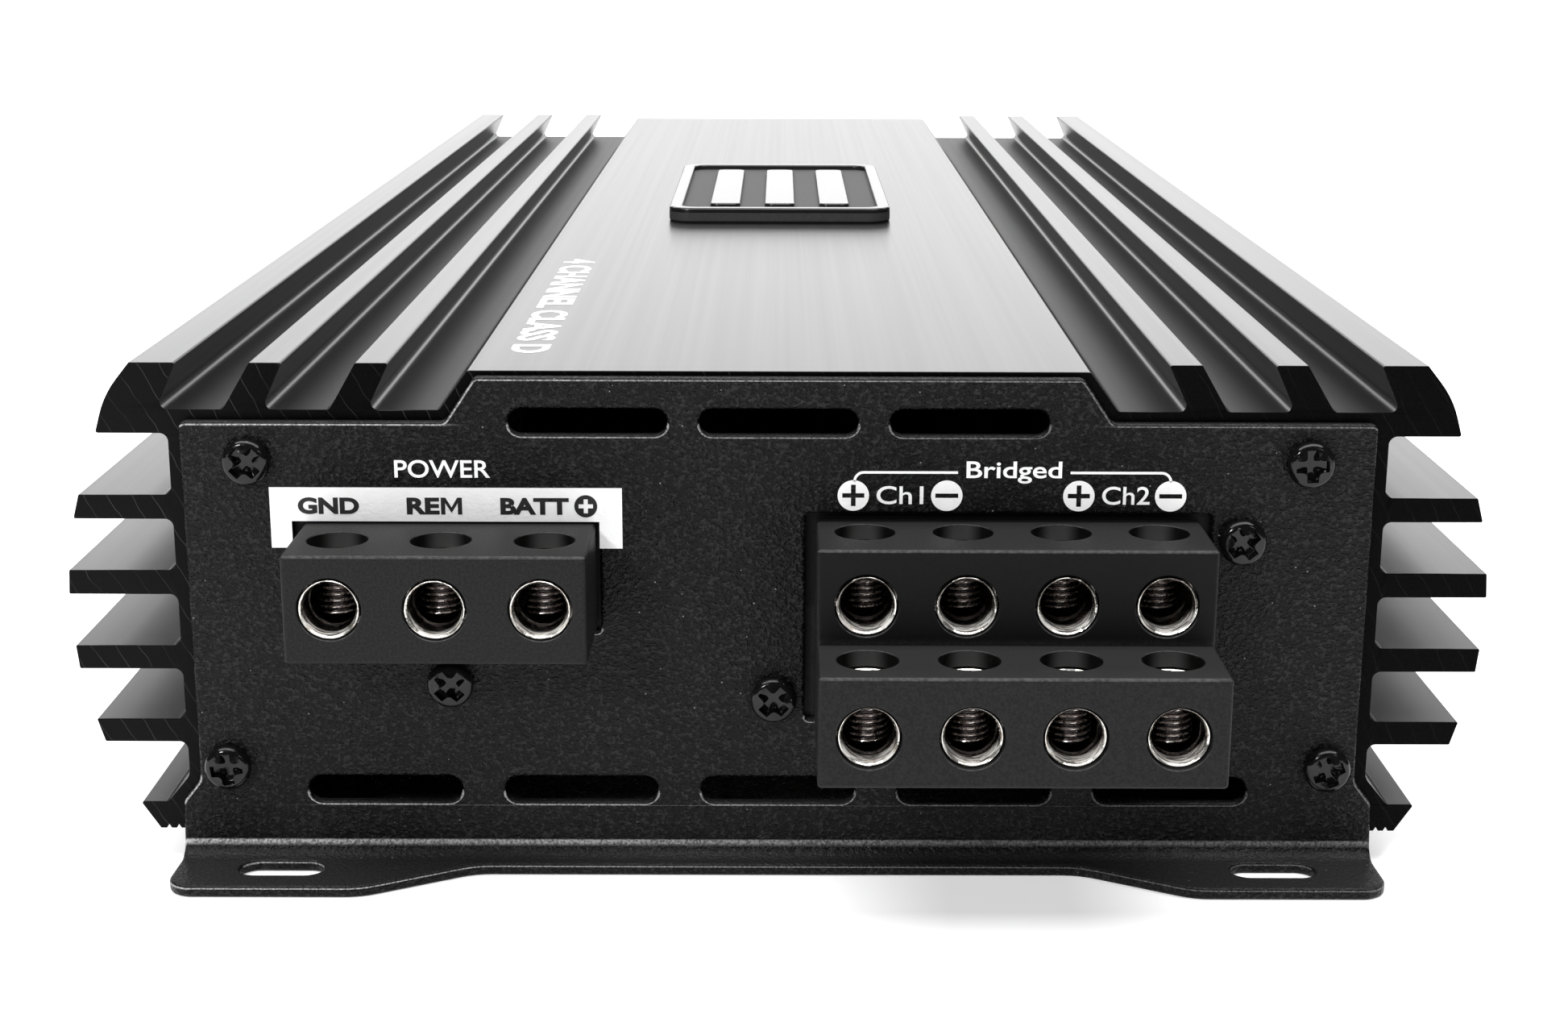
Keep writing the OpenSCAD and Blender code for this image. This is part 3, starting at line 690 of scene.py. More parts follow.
def bright_steel():
    """Zinc plated steel, faintly streaked along Y."""
    colour, stretch = grey(0.62), (1, 0.1, 1)
    look = Look("bright_steel", colour, 0.25, metallic=1.0)
    look.colour(look.mix(look.noise(1.2, detail=3), tint(colour, 0.75), colour))
    look.uneven(look.noise(2, stretch, detail=3), 0.175, 0.35)
    look.bump(look.noise(6, stretch), 0.006)
    return look.material


def black_oxide():
    """Glossy black screw with a few bright nicks where the finish is worn."""
    look = Look("black_screw", grey(0.005), 0.16, specular=0.3)
    nick = look.remap(look.noise(2.3, detail=4, rough=0.7), 0.67, 0.72)
    look.colour(look.mix(nick, grey(0.003), grey(0.14)))
    look.uneven(look.noise(1.3, detail=3), 0.08, 0.2)
    look.bump(look.noise(1.1, detail=3, rough=0.55), 0.05, 0.7)
    return look.material


def ink(name, colour):
    """Screen print: it follows the relief of the coat under it and has tiny pinholes."""
    look = Look(name, colour, 0.45, specular=0.3)
    hole = look.remap(look.noise(3.2, detail=3, rough=0.7), 0.69, 0.74)
    shade = look.mix(look.noise(0.6), tint(colour, 0.92), colour)
    look.colour(look.mix(look.times(hole, 0.3), shade, tint(colour, 0.5)))
    wrinkle(look, 0.012)
    return look.material


def two_level_badge():
    """Gloss black raised parts over a rough, dark field."""
    look = Look("badge_face", grey(0.012), 0.2, specular=0.5)
    height = look.at("Z")
    field = look.fall(height, badge_high.z - 0.85, badge_high.z - 0.8)
    grain = look.noise(2.5, detail=3)
    look.colour(look.mix(field, grey(0.012), look.mix(grain, grey(0.02), grey(0.05))))
    look.rough(look.plus(look.times(field, 0.5), 0.2))
    look.bump(grain, 0.02, field)
    return look.material


def circuit_board():
    """Solder mask over copper tracks, with bright pads in rows."""
    look = Look("circuit_board", (0.01, 0.09, 0.035), 0.28, specular=0.5)
    track = look.cells(0.22, "Color")
    shade = look.nodes.new("ShaderNodeSeparateXYZ")
    look.links.new(track, shade.inputs[0])
    copper = look.remap(shade.outputs[0], 0.45, 0.55)
    mask = look.mix(copper, (0.006, 0.06, 0.022), (0.012, 0.12, 0.045))
    pad = look.remap(look.cells(0.4), 0.16, 0.12)
    look.colour(look.mix(pad, mask, (0.55, 0.55, 0.52)))
    look.bump(copper, 0.03)
    look.uneven(look.noise(1.5), 0.22, 0.34)
    return look.material


def wound(name, colour, stretch):
    """Varnished copper wire, turn beside turn."""
    look = Look(name, colour, 0.25, metallic=0.7, coat=0.6)
    across = look.noise(1.1, stretch, detail=1)
    look.colour(look.mix(across, tint(colour, 0.55), colour))
    look.uneven(look.noise(2), 0.18, 0.34)
    look.bump(across, 0.35)
    return look.material


def sleeved(name, colour):
    """Shrunk sleeve round a can whose top is bare aluminium."""
    look = Look(name, colour, 0.25, coat=0.3)
    top = look.remap(look.facing("Z"), 0.85, 0.95)
    grain = look.noise(1.4, detail=3)
    sleeve = look.mix(grain, tint(colour, 0.75), tint(colour, 1.2))
    can = look.mix(grain, grey(0.5), grey(0.72))
    look.colour(look.mix(top, sleeve, can))
    look.metal(top)
    look.uneven(look.noise(2.5), 0.2, 0.34)
    look.bump(look.noise(0.8, (1, 1, 0.2)), 0.04)
    return look.material


def tinted(name, colour):
    """Clear tinted epoxy."""
    look = Look(name, colour, 0.12, specular=0.6, coat=0.5)
    cloud = look.noise(0.9)
    look.colour(look.mix(cloud, tint(colour, 0.6), colour))
    look.uneven(look.noise(2), 0.08, 0.18)
    look.bump(look.noise(1.5), 0.01)
    return look.material


ALUMINIUM = anodised()
COAT = powder_coat("textured_coat")
BASE_COAT = powder_coat("base_coat", 0.018)
BLOCK_PLASTIC = terminal_plastic()
BLACK_PLASTIC = moulded("black_plastic", grey(0.02), speckle=0.25)
WHITE_PLASTIC = moulded("white_plastic", grey(0.72, 0.02), speckle=0.05, roughness=0.4)
NICKEL = plated("plated_brass", (0.74, 0.725, 0.7), roughness=0.13)
POWER_CLAMP = plated("power_clamp_brass", (0.86, 0.84, 0.8), roughness=0.14, turned=5.0, depth=0.035,
                     rows=[(power_wires, 0.5, 0.0)])
SPEAKER_CLAMP = plated("speaker_clamp_brass", (0.86, 0.84, 0.8), roughness=0.12, turned=5.0,
                       depth=0.02, rows=[(upper_wires, 1.5, 0.8), (lower_wires, 1.3, 0.8)])
BLACK_SCREW = black_oxide()
WHITE_INK = ink("white_ink", grey(0.94))
BLACK_INK = ink("black_ink", grey(0.012))
BADGE = two_level_badge()
BRIGHT_STEEL = bright_steel()
PADS = moulded("pad_grey", grey(0.36), speckle=0.1, roughness=0.7, specular=0.2)
EPOXY = moulded("epoxy_black", grey(0.018), speckle=0.3, roughness=0.45)
FERRITE = moulded("ferrite", (0.07, 0.075, 0.075), speckle=0.25, roughness=0.55)
POT_BLUE = moulded("pot_blue", (0.03, 0.06, 0.14), speckle=0.15, roughness=0.4)
FUSE_YELLOW = tinted("fuse_yellow", (0.75, 0.42, 0.03))
LED_BLUE = tinted("led_blue", (0.12, 0.3, 0.8))
LED_RED = tinted("led_red", (0.7, 0.05, 0.03))
BOARD = circuit_board()
RING_WINDING = wound("ring_winding", (0.55, 0.2, 0.07), (1.2, 1.2, 0.15))
COIL_WINDING = wound("coil_winding", (0.55, 0.2, 0.07), (1.6, 0.12, 0.12))
SLEEVE = sleeved("capacitor_sleeve", (0.016, 0.03, 0.06))


# ---------------------------------------------------------------- heatsink and base
# Leaning fins as the x of foot, crest, crest and foot. Side fins as the z of their upper and
# lower face and how far out each of these reaches
leaning_fins = [(48.15, 45.47, 49.35, 52.57), (60.48, 57.9, 61.7, 65.05)]
side_fins = [(46.26, 43.3, 82.7, 83.5), (37.0, 34.0, 84.47, 84.66),
             (27.6, 24.65, 84.36, 84.05), (18.3, 15.35, 82.5, 81.6)]
plateau_z, crest_z, valley_z, ceiling_z, vault_z = 61.3, 62.15, 56.6, 53.1, 58.0
foot_z, lip_z, wall_x, inner_x = 4.1, 7.3, 71.7, 68.2
teeth, tooth_depth = 4, 0.5


def heatsink_half():
    """Right half of the section, from the top middle round to the inside."""
    half = [(36.3, plateau_z, 0.5), (39.7, valley_z, 0.8)]
    for a, b, c, d in leaning_fins:
        half += [(a, valley_z, 0.8), (b, crest_z, 0.25), (c, crest_z, 0.25), (d, valley_z, 0.8)]
    half += [(72.8, valley_z, 0.8), (70.3, crest_z, 0.25), (75.7, crest_z, 0.25),
             (78.9, 58.2, 12), (80.2, 53.7, 0.25), (wall_x, 53.7, 1)]
    for high, low, upper_reach, lower_reach in side_fins:
        half += [(wall_x, high, 1), (upper_reach, high, 0.2), (lower_reach, low, 0.2),
                 (wall_x, low, 1)]
    half += [(wall_x, 11, 2), (74.5, 7.6, 0.8), (77.9, 7.6, 0.25), (75.6, foot_z, 0.2)]
    pitch = (75.2 - 70.4) / teeth
    for i in range(teeth):
        x = 75.2 - i * pitch
        half += [(x - 0.25 * pitch, foot_z, 0), (x - 0.5 * pitch, foot_z + tooth_depth, 0),
                 (x - 0.75 * pitch, foot_z, 0)]
    half += [(64, foot_z, 0), (64, lip_z, 0.2), (inner_x, lip_z, 0.5), (inner_x, ceiling_z, 1),
             (38.5, ceiling_z, 1), (34.5, vault_z, 1)]
    return half


def heatsink_body():
    length = body_high.y - body_low.y
    section = rounded(both_sides(heatsink_half()), per_turn=72)
    chamfer = 0.1
    parts = [prism(section, length, edge=chamfer, rings=1)]
    for side in (-1, 1):
        for (x, z), r in zip(corner_screws, (3.2, 3.1)):
            ring = [(r, 0.05), (r, length - 0.05), (1.3, length - 0.05), (1.3, 0.05)]
            parts.append(moved(spun(ring, 32, closed=True), shift(side * x, z, 0)))
    # The section is drawn in X and Y and runs along +Z: stand it up and run it from the rear end
    return moved(joined(*parts), OUTWARD, shift(y=body_high.y))


piece("heatsink_extrusion", heatsink_body(), ALUMINIUM,
      replaces=["heatsink"])

base_screws = [(x, y) for x in (-66.5, 66.5) for y in (-145, -45, 60, 158)]
base_low, base_high = box_mm("base_plate")


def base_sheet():
    outline = rectangle(base_low.x, base_low.y, base_high.x, base_high.y, 1.0)
    holes = [circle(x, y, through_d / 2) for x, y in base_screws]
    sheet = prism(outline, base_high.z - base_low.z, holes, edge=0.25)
    return moved(sheet, shift(z=base_low.z))


piece("base_sheet", base_sheet(), BASE_COAT, replaces=["base_plate"])


# ---------------------------------------------------------------- end plates
def flange_v(y):
    """Place on the flat sheet of a point on the flange."""
    return bend_z - bend_length + (y + bend_r)


def end_sheet(holes):
    """The sheet is cut flat, with rounded edges, and its flange is then bent outwards."""
    half = [(35.4, 60.8, 1), (39.0, 55.45, 1.2), (70, 55.45, 0.8), (70, 11.1, 2), (72.2, 8.3, 2),
            (bend_w / 2, bend_z, 4), (bend_w / 2, flange_v(-bend_r), 4),
            (72.6, flange_v(-flange_out), 3.2), (49.3, flange_v(-flange_out), 8),
            (36.5, flange_v(-3.2), 8)]
    shared = [slot_outline(x, 55.55, 18.6, 3.1) for x in top_vents]
    shared += [slot_outline(x, 9.9, 18.6, 3.3) for x in bottom_vents]
    for side in (-1, 1):
        shared += [circle(side * x, z, through_d / 2) for x, z in corner_screws]
        shared.append(slot_outline(side * slot_x, flange_v(slot_y), slot_len, slot_w))
    sheet = prism(rounded(both_sides(half)), plate_t, shared + holes, edge=0.42, rings=3)
    levels = 12
    for i in range(levels + 1):
        geometry = sheet.verts[:] + sheet.edges[:] + sheet.faces[:]
        level = bend_z - bend_length * i / levels
        bmesh.ops.bisect_plane(sheet, geom=geometry, plane_co=(0, level, 0), plane_no=(0, 1, 0),
                               dist=0.0005)
    for vert in sheet.verts:
        u, v, w = vert.co
        if v >= bend_z:
            vert.co = (u, w, v)
            continue
        angle = min(1.0, (bend_z - v) / bend_length) * math.pi / 2
        past = max(0.0, bend_z - bend_length - v)
        r = bend_r + w
        vert.co = (u, -bend_r + r * math.cos(angle) - past, bend_z - r * math.sin(angle))
    bmesh.ops.recalc_face_normals(sheet, faces=sheet.faces)
    return sheet


def front_sheet():
    power_window = rectangle(-57.3, 29.9, -21.1, 43.6, 0.6)
    speaker_window = rectangle(3.2, 18.9, 51.1, 44.6, 0.6)
    fixings = [circle(x, z, through_d / 2) for x, z in power_fixing + speaker_fixings]
    return end_sheet([power_window, speaker_window] + fixings)


def rear_sheet():
    holes = [circle(x, z, 4.9) for x, z in rca_places()]
    holes.append(circle(rca_x, sum(rca_rows) / 2, through_d / 2))
    holes += [circle(x, z, 3.6) for x, z in knob_places.values()]
    holes += [slot_outline(x, z, 8.0, 3.3) for x, z in lever_places.values()]
    holes += [circle(led_x, z, 1.65) for z in knob_rows]
    return end_sheet(holes)


def rca_places():
    return [(rca_x + side * rca_pitch / 2, z) for side in (-1, 1) for z in rca_rows]


piece("front_sheet", front_sheet(), COAT, replaces=["front_end_plate"],
      place=AT_FRONT)
piece("rear_sheet", rear_sheet(), COAT, replaces=["rear_end_plate"],
      place=AT_REAR)


# ---------------------------------------------------------------- cross-recess screws
def cross_outline(reach, width, fillet, scale=1.0):
    """A cross with rounded corners between its arms."""
    w = width / 2
    points = []
    for quarter in range(4):
        a = math.radians(90 * quarter)
        for x, y, r in ((reach, -w, 0.12), (reach, w, 0.12), (w, w, fillet)):
            points.append(((x * math.cos(a) - y * math.sin(a)) * scale,
                           (x * math.sin(a) + y * math.cos(a)) * scale, r * scale))
    return rounded(points)


def screw_head(length):
    """Pan head with a cross recess above z = 0 and a threaded shank below."""
    crown = [(0, head_h)]
    crown += [(r, head_h - 0.11 * r * r) for r in (0.6, 1.2, 1.6, 1.85)]
    crown += arc(1.95, 0.86, 0.83, 78, 0, 9)
    crown += [(head_r - 0.06, 0.12), (head_r - 0.2, 0.02), (shank_r, 0.02), (shank_r, -0.1)]
    for i in range(int(length / screw_pitch) - 1):
        crown += [(shank_r, -0.3 - i * screw_pitch),
                  (shank_r - 0.2, -0.3 - (i + 0.5) * screw_pitch)]
    crown += [(shank_r - 0.3, -length), (0, -length)]
    recess = loft([(cross_outline(1.95, 1.4, 0.5, s), h)
                   for h, s in ((head_h + 1, 1.04), (head_h - 0.3, 1.0), (head_h - 1.5, 0.92),
                                (head_h - 1.9, 0.5))])
    return cut(spun(crown, 48), recess)


def screw_set(master, places, turns):
    """Copies of one screw at (x, z) places on an end plate, each turned by its own angle."""
    out = []
    for (x, z), turn in zip(places, turns):
        out.append(moved(master.copy(), spin(turn), OUTWARD, shift(x, 0, z)))
    return joined(*out)


end_screw = screw_head(8)
base_screw = screw_head(5.2)
corners = [(side * x, z) for side in (-1, 1) for x, z in corner_screws]
rear_screw_places = corners + [(rca_x, sum(rca_rows) / 2)]
for name, node, places, turns, place in (
        ("front_plate_screw_set", "front_plate_screws", corners, (45, 8, 2, 22), AT_FRONT),
        ("rear_plate_screw_set", "rear_plate_screws", rear_screw_places, (12, 57, 31, 76, 5),
         AT_REAR),
        ("power_terminal_screw", "power_terminal_fixing_screw", power_fixing, (43,), AT_FRONT),
        ("speaker_terminal_screws", "speaker_terminal_fixing_screws", speaker_fixings, (38, 47),
         AT_FRONT)):
    piece(name, screw_set(end_screw, places, turns), BLACK_SCREW,
          replaces=[node], place=place)


def base_screw_set():
    out = [moved(base_screw.copy(), spin(17 * i), spin(180, "X"), shift(x, y, base_low.z))
           for i, (x, y) in enumerate(base_screws)]
    return joined(*out)


piece("base_screw_set", base_screw_set(), BLACK_SCREW,
      replaces=["base_plate_screws"])


# ---------------------------------------------------------------- badge
def plaque():
    """A rounded plaque with a raised rim and three raised bars."""
    low, high = badge_low, badge_high

    def ring(inset, r):
        return rectangle(low.x + inset, low.y + inset, high.x - inset, high.y - inset, r)

    height = high.z - low.z
    rim = prism(ring(0, 4), height, [ring(2.2, 2.6)], edge=0.4, rings=3)
    field = prism(ring(1.6, 3), height - 0.9)
    bars = [prism(rectangle(x - 2.6, low.y + 8, x + 2.6, high.y - 8, 1.5), height - 0.2, edge=0.3)
            for x in (-9.5, 0, 9.5)]
    return moved(joined(rim, field, *bars), shift(z=low.z))


piece("badge_plaque", plaque(), BADGE, replaces=["badge"])


# ---------------------------------------------------------------- screw terminals
def rim_cutter(radius, depth, flare=0.35):
    """A round cutter that opens out at the surface, z = 0, and goes down to -depth."""
    lip = [(radius + flare - flare * math.sin(math.radians(a)),
            -flare + flare * math.cos(math.radians(a))) for a in range(0, 91, 18)]
    return spun([(0, 1), (radius + flare, 1)] + lip + [(radius, -depth), (0, -depth)], 44)


def pocket_cutters(wires):
    half = clamp_w / 2 + 0.1
    return [block((w.x - half, w.mouth + nose_len - 0.1, w.z - 4.1),
                  (w.x + half, terminal_depth + 3, w.deck_top - top_wall)) for w in wires]


def mouth_cutters(wires):
    return [moved(rim_cutter(nose_r + 0.2, nose_len + 1, 0.2), OUTWARD,
                  shift(w.x, mouth_face(w), w.z)) for w in wires]


def access_cutters(wires):
    return [moved(rim_cutter(3.5, 3.2, 0.15), shift(w.x, w.screw_y, w.deck_top)) for w in wires]


def mouth_face(wire):
    """Face of the plastic round a wire hole. The clamps of the lower deck stand a little back."""
    return -23.5 if wire in lower_wires else wire.mouth


def pilot_hole(x, z):
    return moved(rod(1.3, -1, 8.5, 24), INWARD, shift(x, 0, z))


def housing(decks, x, width, flange, bosses, wires):
    """Rounded decks given as (mouth, bottom, top), a flange behind the plate, and pockets."""
    half = width / 2
    solids = [block((x - half, mouth, low), (x + half, terminal_depth, high), 0.5, 4)
              for mouth, low, high in decks]
    solids.append(block((flange[0], plate_t, board_top + 1),
                        (flange[1], plate_t + 2.6, board_top + 30), 0.3))
    solids += [moved(rod(3.5, 0, 8, 32), INWARD, shift(bx, plate_t, bz)) for bx, bz in bosses]
    body = solids[0]
    for solid in solids[1:]:
        body = boolean(body, solid, "UNION")
    pilots = [pilot_hole(bx, bz) for bx, bz in bosses]
    for cutters in (pocket_cutters(wires) + pilots, mouth_cutters(wires), access_cutters(wires)):
        body = cut(body, *cutters)
    return body


def power_housing():
    return housing([(-14, 30.4, 43.2)], power_x, 34.4, (power_x - 20.5, power_x + 20.5),
                   power_fixing, power_wires)


def speaker_housing():
    return housing([(-12, 31, 43.5), (-23.5, 19.3, 32.2)], speaker_x, 45.55, (-4.5, 58.7),
                   speaker_fixings, upper_wires + lower_wires)


piece("power_block", power_housing(), BLOCK_PLASTIC,
      replaces=["power_terminal_housing"], place=AT_FRONT)
piece("speaker_block", speaker_housing(), BLOCK_PLASTIC,
      replaces=["speaker_terminal_housing"], place=AT_FRONT)


def nose(seed):
    """Front tube of a clamp, with a burred, chamfered rim."""
    def burr(amount):
        def height(a, base):
            place = (3 * math.cos(a), 3 * math.sin(a), seed * 7.3)
            return base + amount * noise.noise(place)
        return height

    rough = burr(0.22)

    def ring(radius, base, share):
        return (radius, lambda a: base + share * (rough(a, 0.0)))

    outer = [(nose_r, 3.5), ring(nose_r, 0.25, 0.2), ring(nose_r - 0.03, 0.1, 0.6),
             ring(nose_r - 0.08, 0.05, 0.5)]
    inner = [ring(nose_r - 0.13, 0.08, 0.5), ring(nose_r - 0.3, 0.27, 0.4),
             ring(wire_r + 0.05, 0.5, 0.2), (wire_r - 0.03, 0.95), (wire_r - 0.03, 3.5)]
    return spun(outer + inner, 56, closed=True)


def clamp_body(wire):
    """The brass body behind the nose, with the wire's hole and the screw's hole."""
    top = wire.deck_top - top_wall - 0.1
    start = wire.mouth + nose_len
    body = block((wire.x - clamp_w / 2, start, wire.z - 4),
                 (wire.x + clamp_w / 2, start + clamp_len, top), 0.2, 2)
    wide, back = wire.wide, nose_len + clamp_len - 2
    bore = spun([(0, -1), (wire_r, -1), (wire_r, wide - 0.2), (inner_wire_r, wide),
                 (inner_wire_r, back), (0, back)], 40)
    r = clamp_screw_r + 0.05
    hole = rod(r, -inner_wire_r, 11, 36)
    rise = top - wire.z
    flare = spun([(0, rise - 0.5), (r, rise - 0.5), (r + 0.5, rise + 0.02), (r + 0.5, rise + 1),
                  (0, rise + 1)], 36)
    body = cut(body, moved(bore, INWARD, shift(wire.x, wire.mouth, wire.z)))
    body = cut(body, moved(hole, shift(wire.x, wire.screw_y, wire.z)))
    return cut(body, moved(flare, shift(wire.x, wire.screw_y, wire.z)))


def clamp_tail(wire):
    """Flat tail from the clamp back to the board and its pin."""
    start, back = wire.mouth + nose_len + clamp_len, wire.tail_y
    x, z = wire.x, wire.z
    return joined(
        block((x - 2.5, start - 0.3, z - 1.5), (x + 2.5, back + 1, z - 0.5), 0.15, 2),
        block((x - 2.5, back, board_top), (x + 2.5, back + 1, z - 0.52), 0.15, 2),
        moved(spun([(0, 13.4), (0.4, 13.4), (0.5, 13.6), (0.5, 17), (0, 17)], 16),
              shift(x, back + 0.5, 0)))


def clamps(wires, seed):
    parts = []
    for i, wire in enumerate(wires):
        parts.append(moved(nose(seed + i), INWARD, spin(37 * i, "Y"),
                           shift(wire.x, wire.mouth, wire.z)))
        parts += [clamp_body(wire), clamp_tail(wire)]
    return joined(*parts)


piece("power_clamps", clamps(power_wires, 1), POWER_CLAMP,
      replaces=["power_terminal_clamps"], place=AT_FRONT)
piece("speaker_clamps", clamps(upper_wires + lower_wires, 5), SPEAKER_CLAMP,
      replaces=["speaker_terminal_clamps"], place=AT_FRONT)


def set_screw():
    """Threaded screw with a rounded tip at z = 0 and a hexagonal socket in its top."""
    depth, chamfer, tip_r, tip_h, socket_r, rings_per_pitch = 0.34, 0.35, 1.5, 1.1, 1.25, 10
    top = clamp_screw_len - chamfer

    def radius_at(h):
        tip = min(1.0, h / tip_h)
        full = tip_r + (clamp_screw_r - tip_r) * math.sqrt(max(0.0, 1 - (1 - tip) ** 2))
        fade = min(1.0, h / 0.5, max(0.0, (clamp_screw_len - h) / 0.5))

        def radius(a):
            phase = (h / thread_pitch - a / (2 * math.pi)) % 1
            groove = max(0.0, abs(2 * phase - 1) - 0.2) / 0.8
            return full - depth * (1 - groove) * fade
        return radius

    def hexagon(a):
        return socket_r / math.cos((a + math.pi / 6) % (math.pi / 3) - math.pi / 6)

    steps = int(top / thread_pitch * rings_per_pitch)
    rings = [(0, 0), (1.1, 0.0)]
    rings += [(radius_at(top * i / steps), 0.02 + top * i / steps) for i in range(steps + 1)]
    rings += [(clamp_screw_r - chamfer, clamp_screw_len), (hexagon, clamp_screw_len),
              (hexagon, clamp_screw_len - 2.4), (0, clamp_screw_len - 2.8)]
    return spun(rings, 48)


screw_master = set_screw()
clamp_screws = [(f"power_clamp_screw_{i + 1}", wire) for i, wire in enumerate(power_wires)]
clamp_screws += [(f"speaker_clamp_screw_{i + 1}", wire)
                 for i, wire in enumerate(upper_wires + lower_wires)]
for row, wires in (("power", power_wires), ("upper", upper_wires), ("lower", lower_wires)):
    foot = wires[0].z - inner_wire_r + tip_above_floor
    place = AT_FRONT @ shift(wires[0].x, wires[0].screw_y, foot)
    threads = threaded_steel(row + "_screw_steel", place.translation.x, wires[1].x - wires[0].x,
                             place.translation.y, foot)
    for node, wire in clamp_screws:
        if wire in wires:
            piece(node + "_threaded", screw_master.copy(), threads, body=node,
                  replaces=[node], place=shift(wire.x - wires[0].x, 0, 0) @ place,
                  sharp=60, even=False)


# ---------------------------------------------------------------- print on the front
# Ink stands a little out of its surface and is rooted a little in it
ink_t, ink_root = 0.03, 0.01


def lettering(text, x0, x1, z0, z1, bold=0.03):
    """Plain letters drawn to fill a box, standing upright and facing outwards."""
    curve = bpy.data.curves.new("lettering", "FONT")
    curve.body = text
    curve.offset = bold
    curve.resolution_u = 6
    curve.extrude = 0.01
    bm = evaluated(bpy.data.objects.new("lettering", curve))
    bpy.data.curves.remove(curve)
    xs = [v.co.x for v in bm.verts]
    ys = [v.co.y for v in bm.verts]
    for v in bm.verts:
        v.co.x = x0 + (v.co.x - min(xs)) / (max(xs) - min(xs)) * (x1 - x0)
        v.co.y = z0 + (v.co.y - min(ys)) / (max(ys) - min(ys)) * (z1 - z0)
        v.co.z = ink_t if v.co.z > 0 else -ink_root
    bmesh.ops.remove_doubles(bm, verts=bm.verts, dist=0.0005)
    return moved(bm, OUTWARD)


def letter_m(x0, x1, z0, z1, stroke):
    """The letter M as straight strokes."""
    mid, reach = (x0 + x1) / 2, z1 - z0
    low, high = z0 + 0.1 * reach, z0 + 0.68 * reach
    right = [(x1 - stroke, high), (x1 - stroke, z0), (x1, z0), (x1, z1), (x1 - 1.1 * stroke, z1)]
    left = [(x0 + x1 - x, z) for x, z in reversed(right)]
    return [(mid, low)] + right + [(mid, z0 + 0.42 * reach)] + left


def printed(outline, holes=(), lift=0.0):
    return moved(prism(outline, ink_t + ink_root, holes), OUTWARD, shift(y=ink_root - lift))


def plus(cx, cz, reach, width):
    w = width / 2
    return [(cx + x, cz + z) for x, z in (
        (reach, -w), (reach, w), (w, w), (w, reach), (-w, reach), (-w, w), (-reach, w),
        (-reach, -w), (-w, -w), (-w, -reach), (w, -reach), (w, -w))]


def sign_disc(cx, cz, sign):
    minus = rectangle(cx - 1.35, cz - 0.27, cx + 1.35, cz + 0.27)
    mark = plus(cx, cz, 1.3, 0.56) if sign == "+" else minus
    return printed(circle(cx, cz, 1.85), [mark])


def ribbon(points, width):
    """A closed outline round a line of points."""
    left, right = [], []
    for i, point in enumerate(points):
        before = Vector(points[max(0, i - 1)])
        after = Vector(points[min(len(points) - 1, i + 1)])
        way = (after - before).normalized()
        side = Vector((-way.y, way.x)) * width / 2
        left.append(tuple(Vector(point) + side))
        right.append(tuple(Vector(point) - side))
    return left + right[::-1]


def bracket(word_x, disc_x, disc_z, line_z):
    """Line from beside the word out to a terminal's disc, with a rounded corner."""
    side = 1 if disc_x > word_x else -1
    r = 1.1
    corner = [(disc_x - side * r + side * r * math.sin(a), line_z - r + r * math.cos(a))
              for a in [math.pi / 2 * i / 8 for i in range(9)]]
    return printed(ribbon([(word_x, line_z)] + corner + [(disc_x, disc_z + 1.7)], 0.3))


panel_outline = [(-59.8, 40.25), (-57.3, 40.25), (-57.3, 43.5), (-21.1, 43.5), (-21.1, 40.25),
                 (-18.4, 40.25), (-18.4, 47.6), (-59.8, 47.6)]
disc_z = 46.8
white_print = [
    printed(panel_outline),
    lettering("POWER", -45, -33.8, 48.79, 50.93, bold=0.012),
    lettering("Bridged", 22.0, 33.2, 48.3, 50.95, bold=0.012),
    lettering("Ch1", 11.5, 17.0, 45.75, 47.95, bold=0.008),
    lettering("Ch2", 38.0, 43.6, 45.75, 47.95, bold=0.008),
    sign_disc(8.77, disc_z, "+"), sign_disc(19.75, disc_z, "-"),
    sign_disc(35.26, disc_z, "+"), sign_disc(46.05, disc_z, "-"),
    bracket(21.0, 8.9, disc_z, 49.6), bracket(34.2, 46.0, disc_z, 49.6),
]
panel_low, panel_high = 44.36, 46.4
black_print = [
    moved(lettering(word, x0, x1, panel_low, panel_high, bold=0.045), shift(y=-ink_t))
    for word, x0, x1 in (("GND", -56.5, -49.3), ("RE", -43.7, -39.85), ("BATT", -32.7, -24.65))]
black_print += [
    printed(letter_m(-39.68, -37.2, panel_low, panel_high, 0.5), lift=ink_t),
    printed(circle(-22.66, 45.4, 1.35), [plus(-22.66, 45.4, 0.85, 0.5)], lift=ink_t),
]
piece("front_legend_white", joined(*white_print), WHITE_INK, place=AT_FRONT,
      even=False)
piece("front_legend_black", joined(*black_print), BLACK_INK, place=AT_FRONT,
      even=False)


def top_legend():
    """Generic words printed lengthwise on the top, read from the far end to the near end."""
    words = moved(lettering("4 CHANNEL CLASS D", 0, 76.3, 0, 4.8), INWARD)
    return moved(words, spin(-90), shift(-32.8, front_y + 88.8, plateau_z))


piece("top_legend", top_legend(), WHITE_INK, even=False)


# ---------------------------------------------------------------- rear end
def at_jacks(rings, start, segments=40, closed=False):
    """The same turned shape in all four signal jacks."""
    return joined(*[moved(spun(rings, segments, closed), INWARD, shift(x, start, z))
                    for x, z in rca_places()])


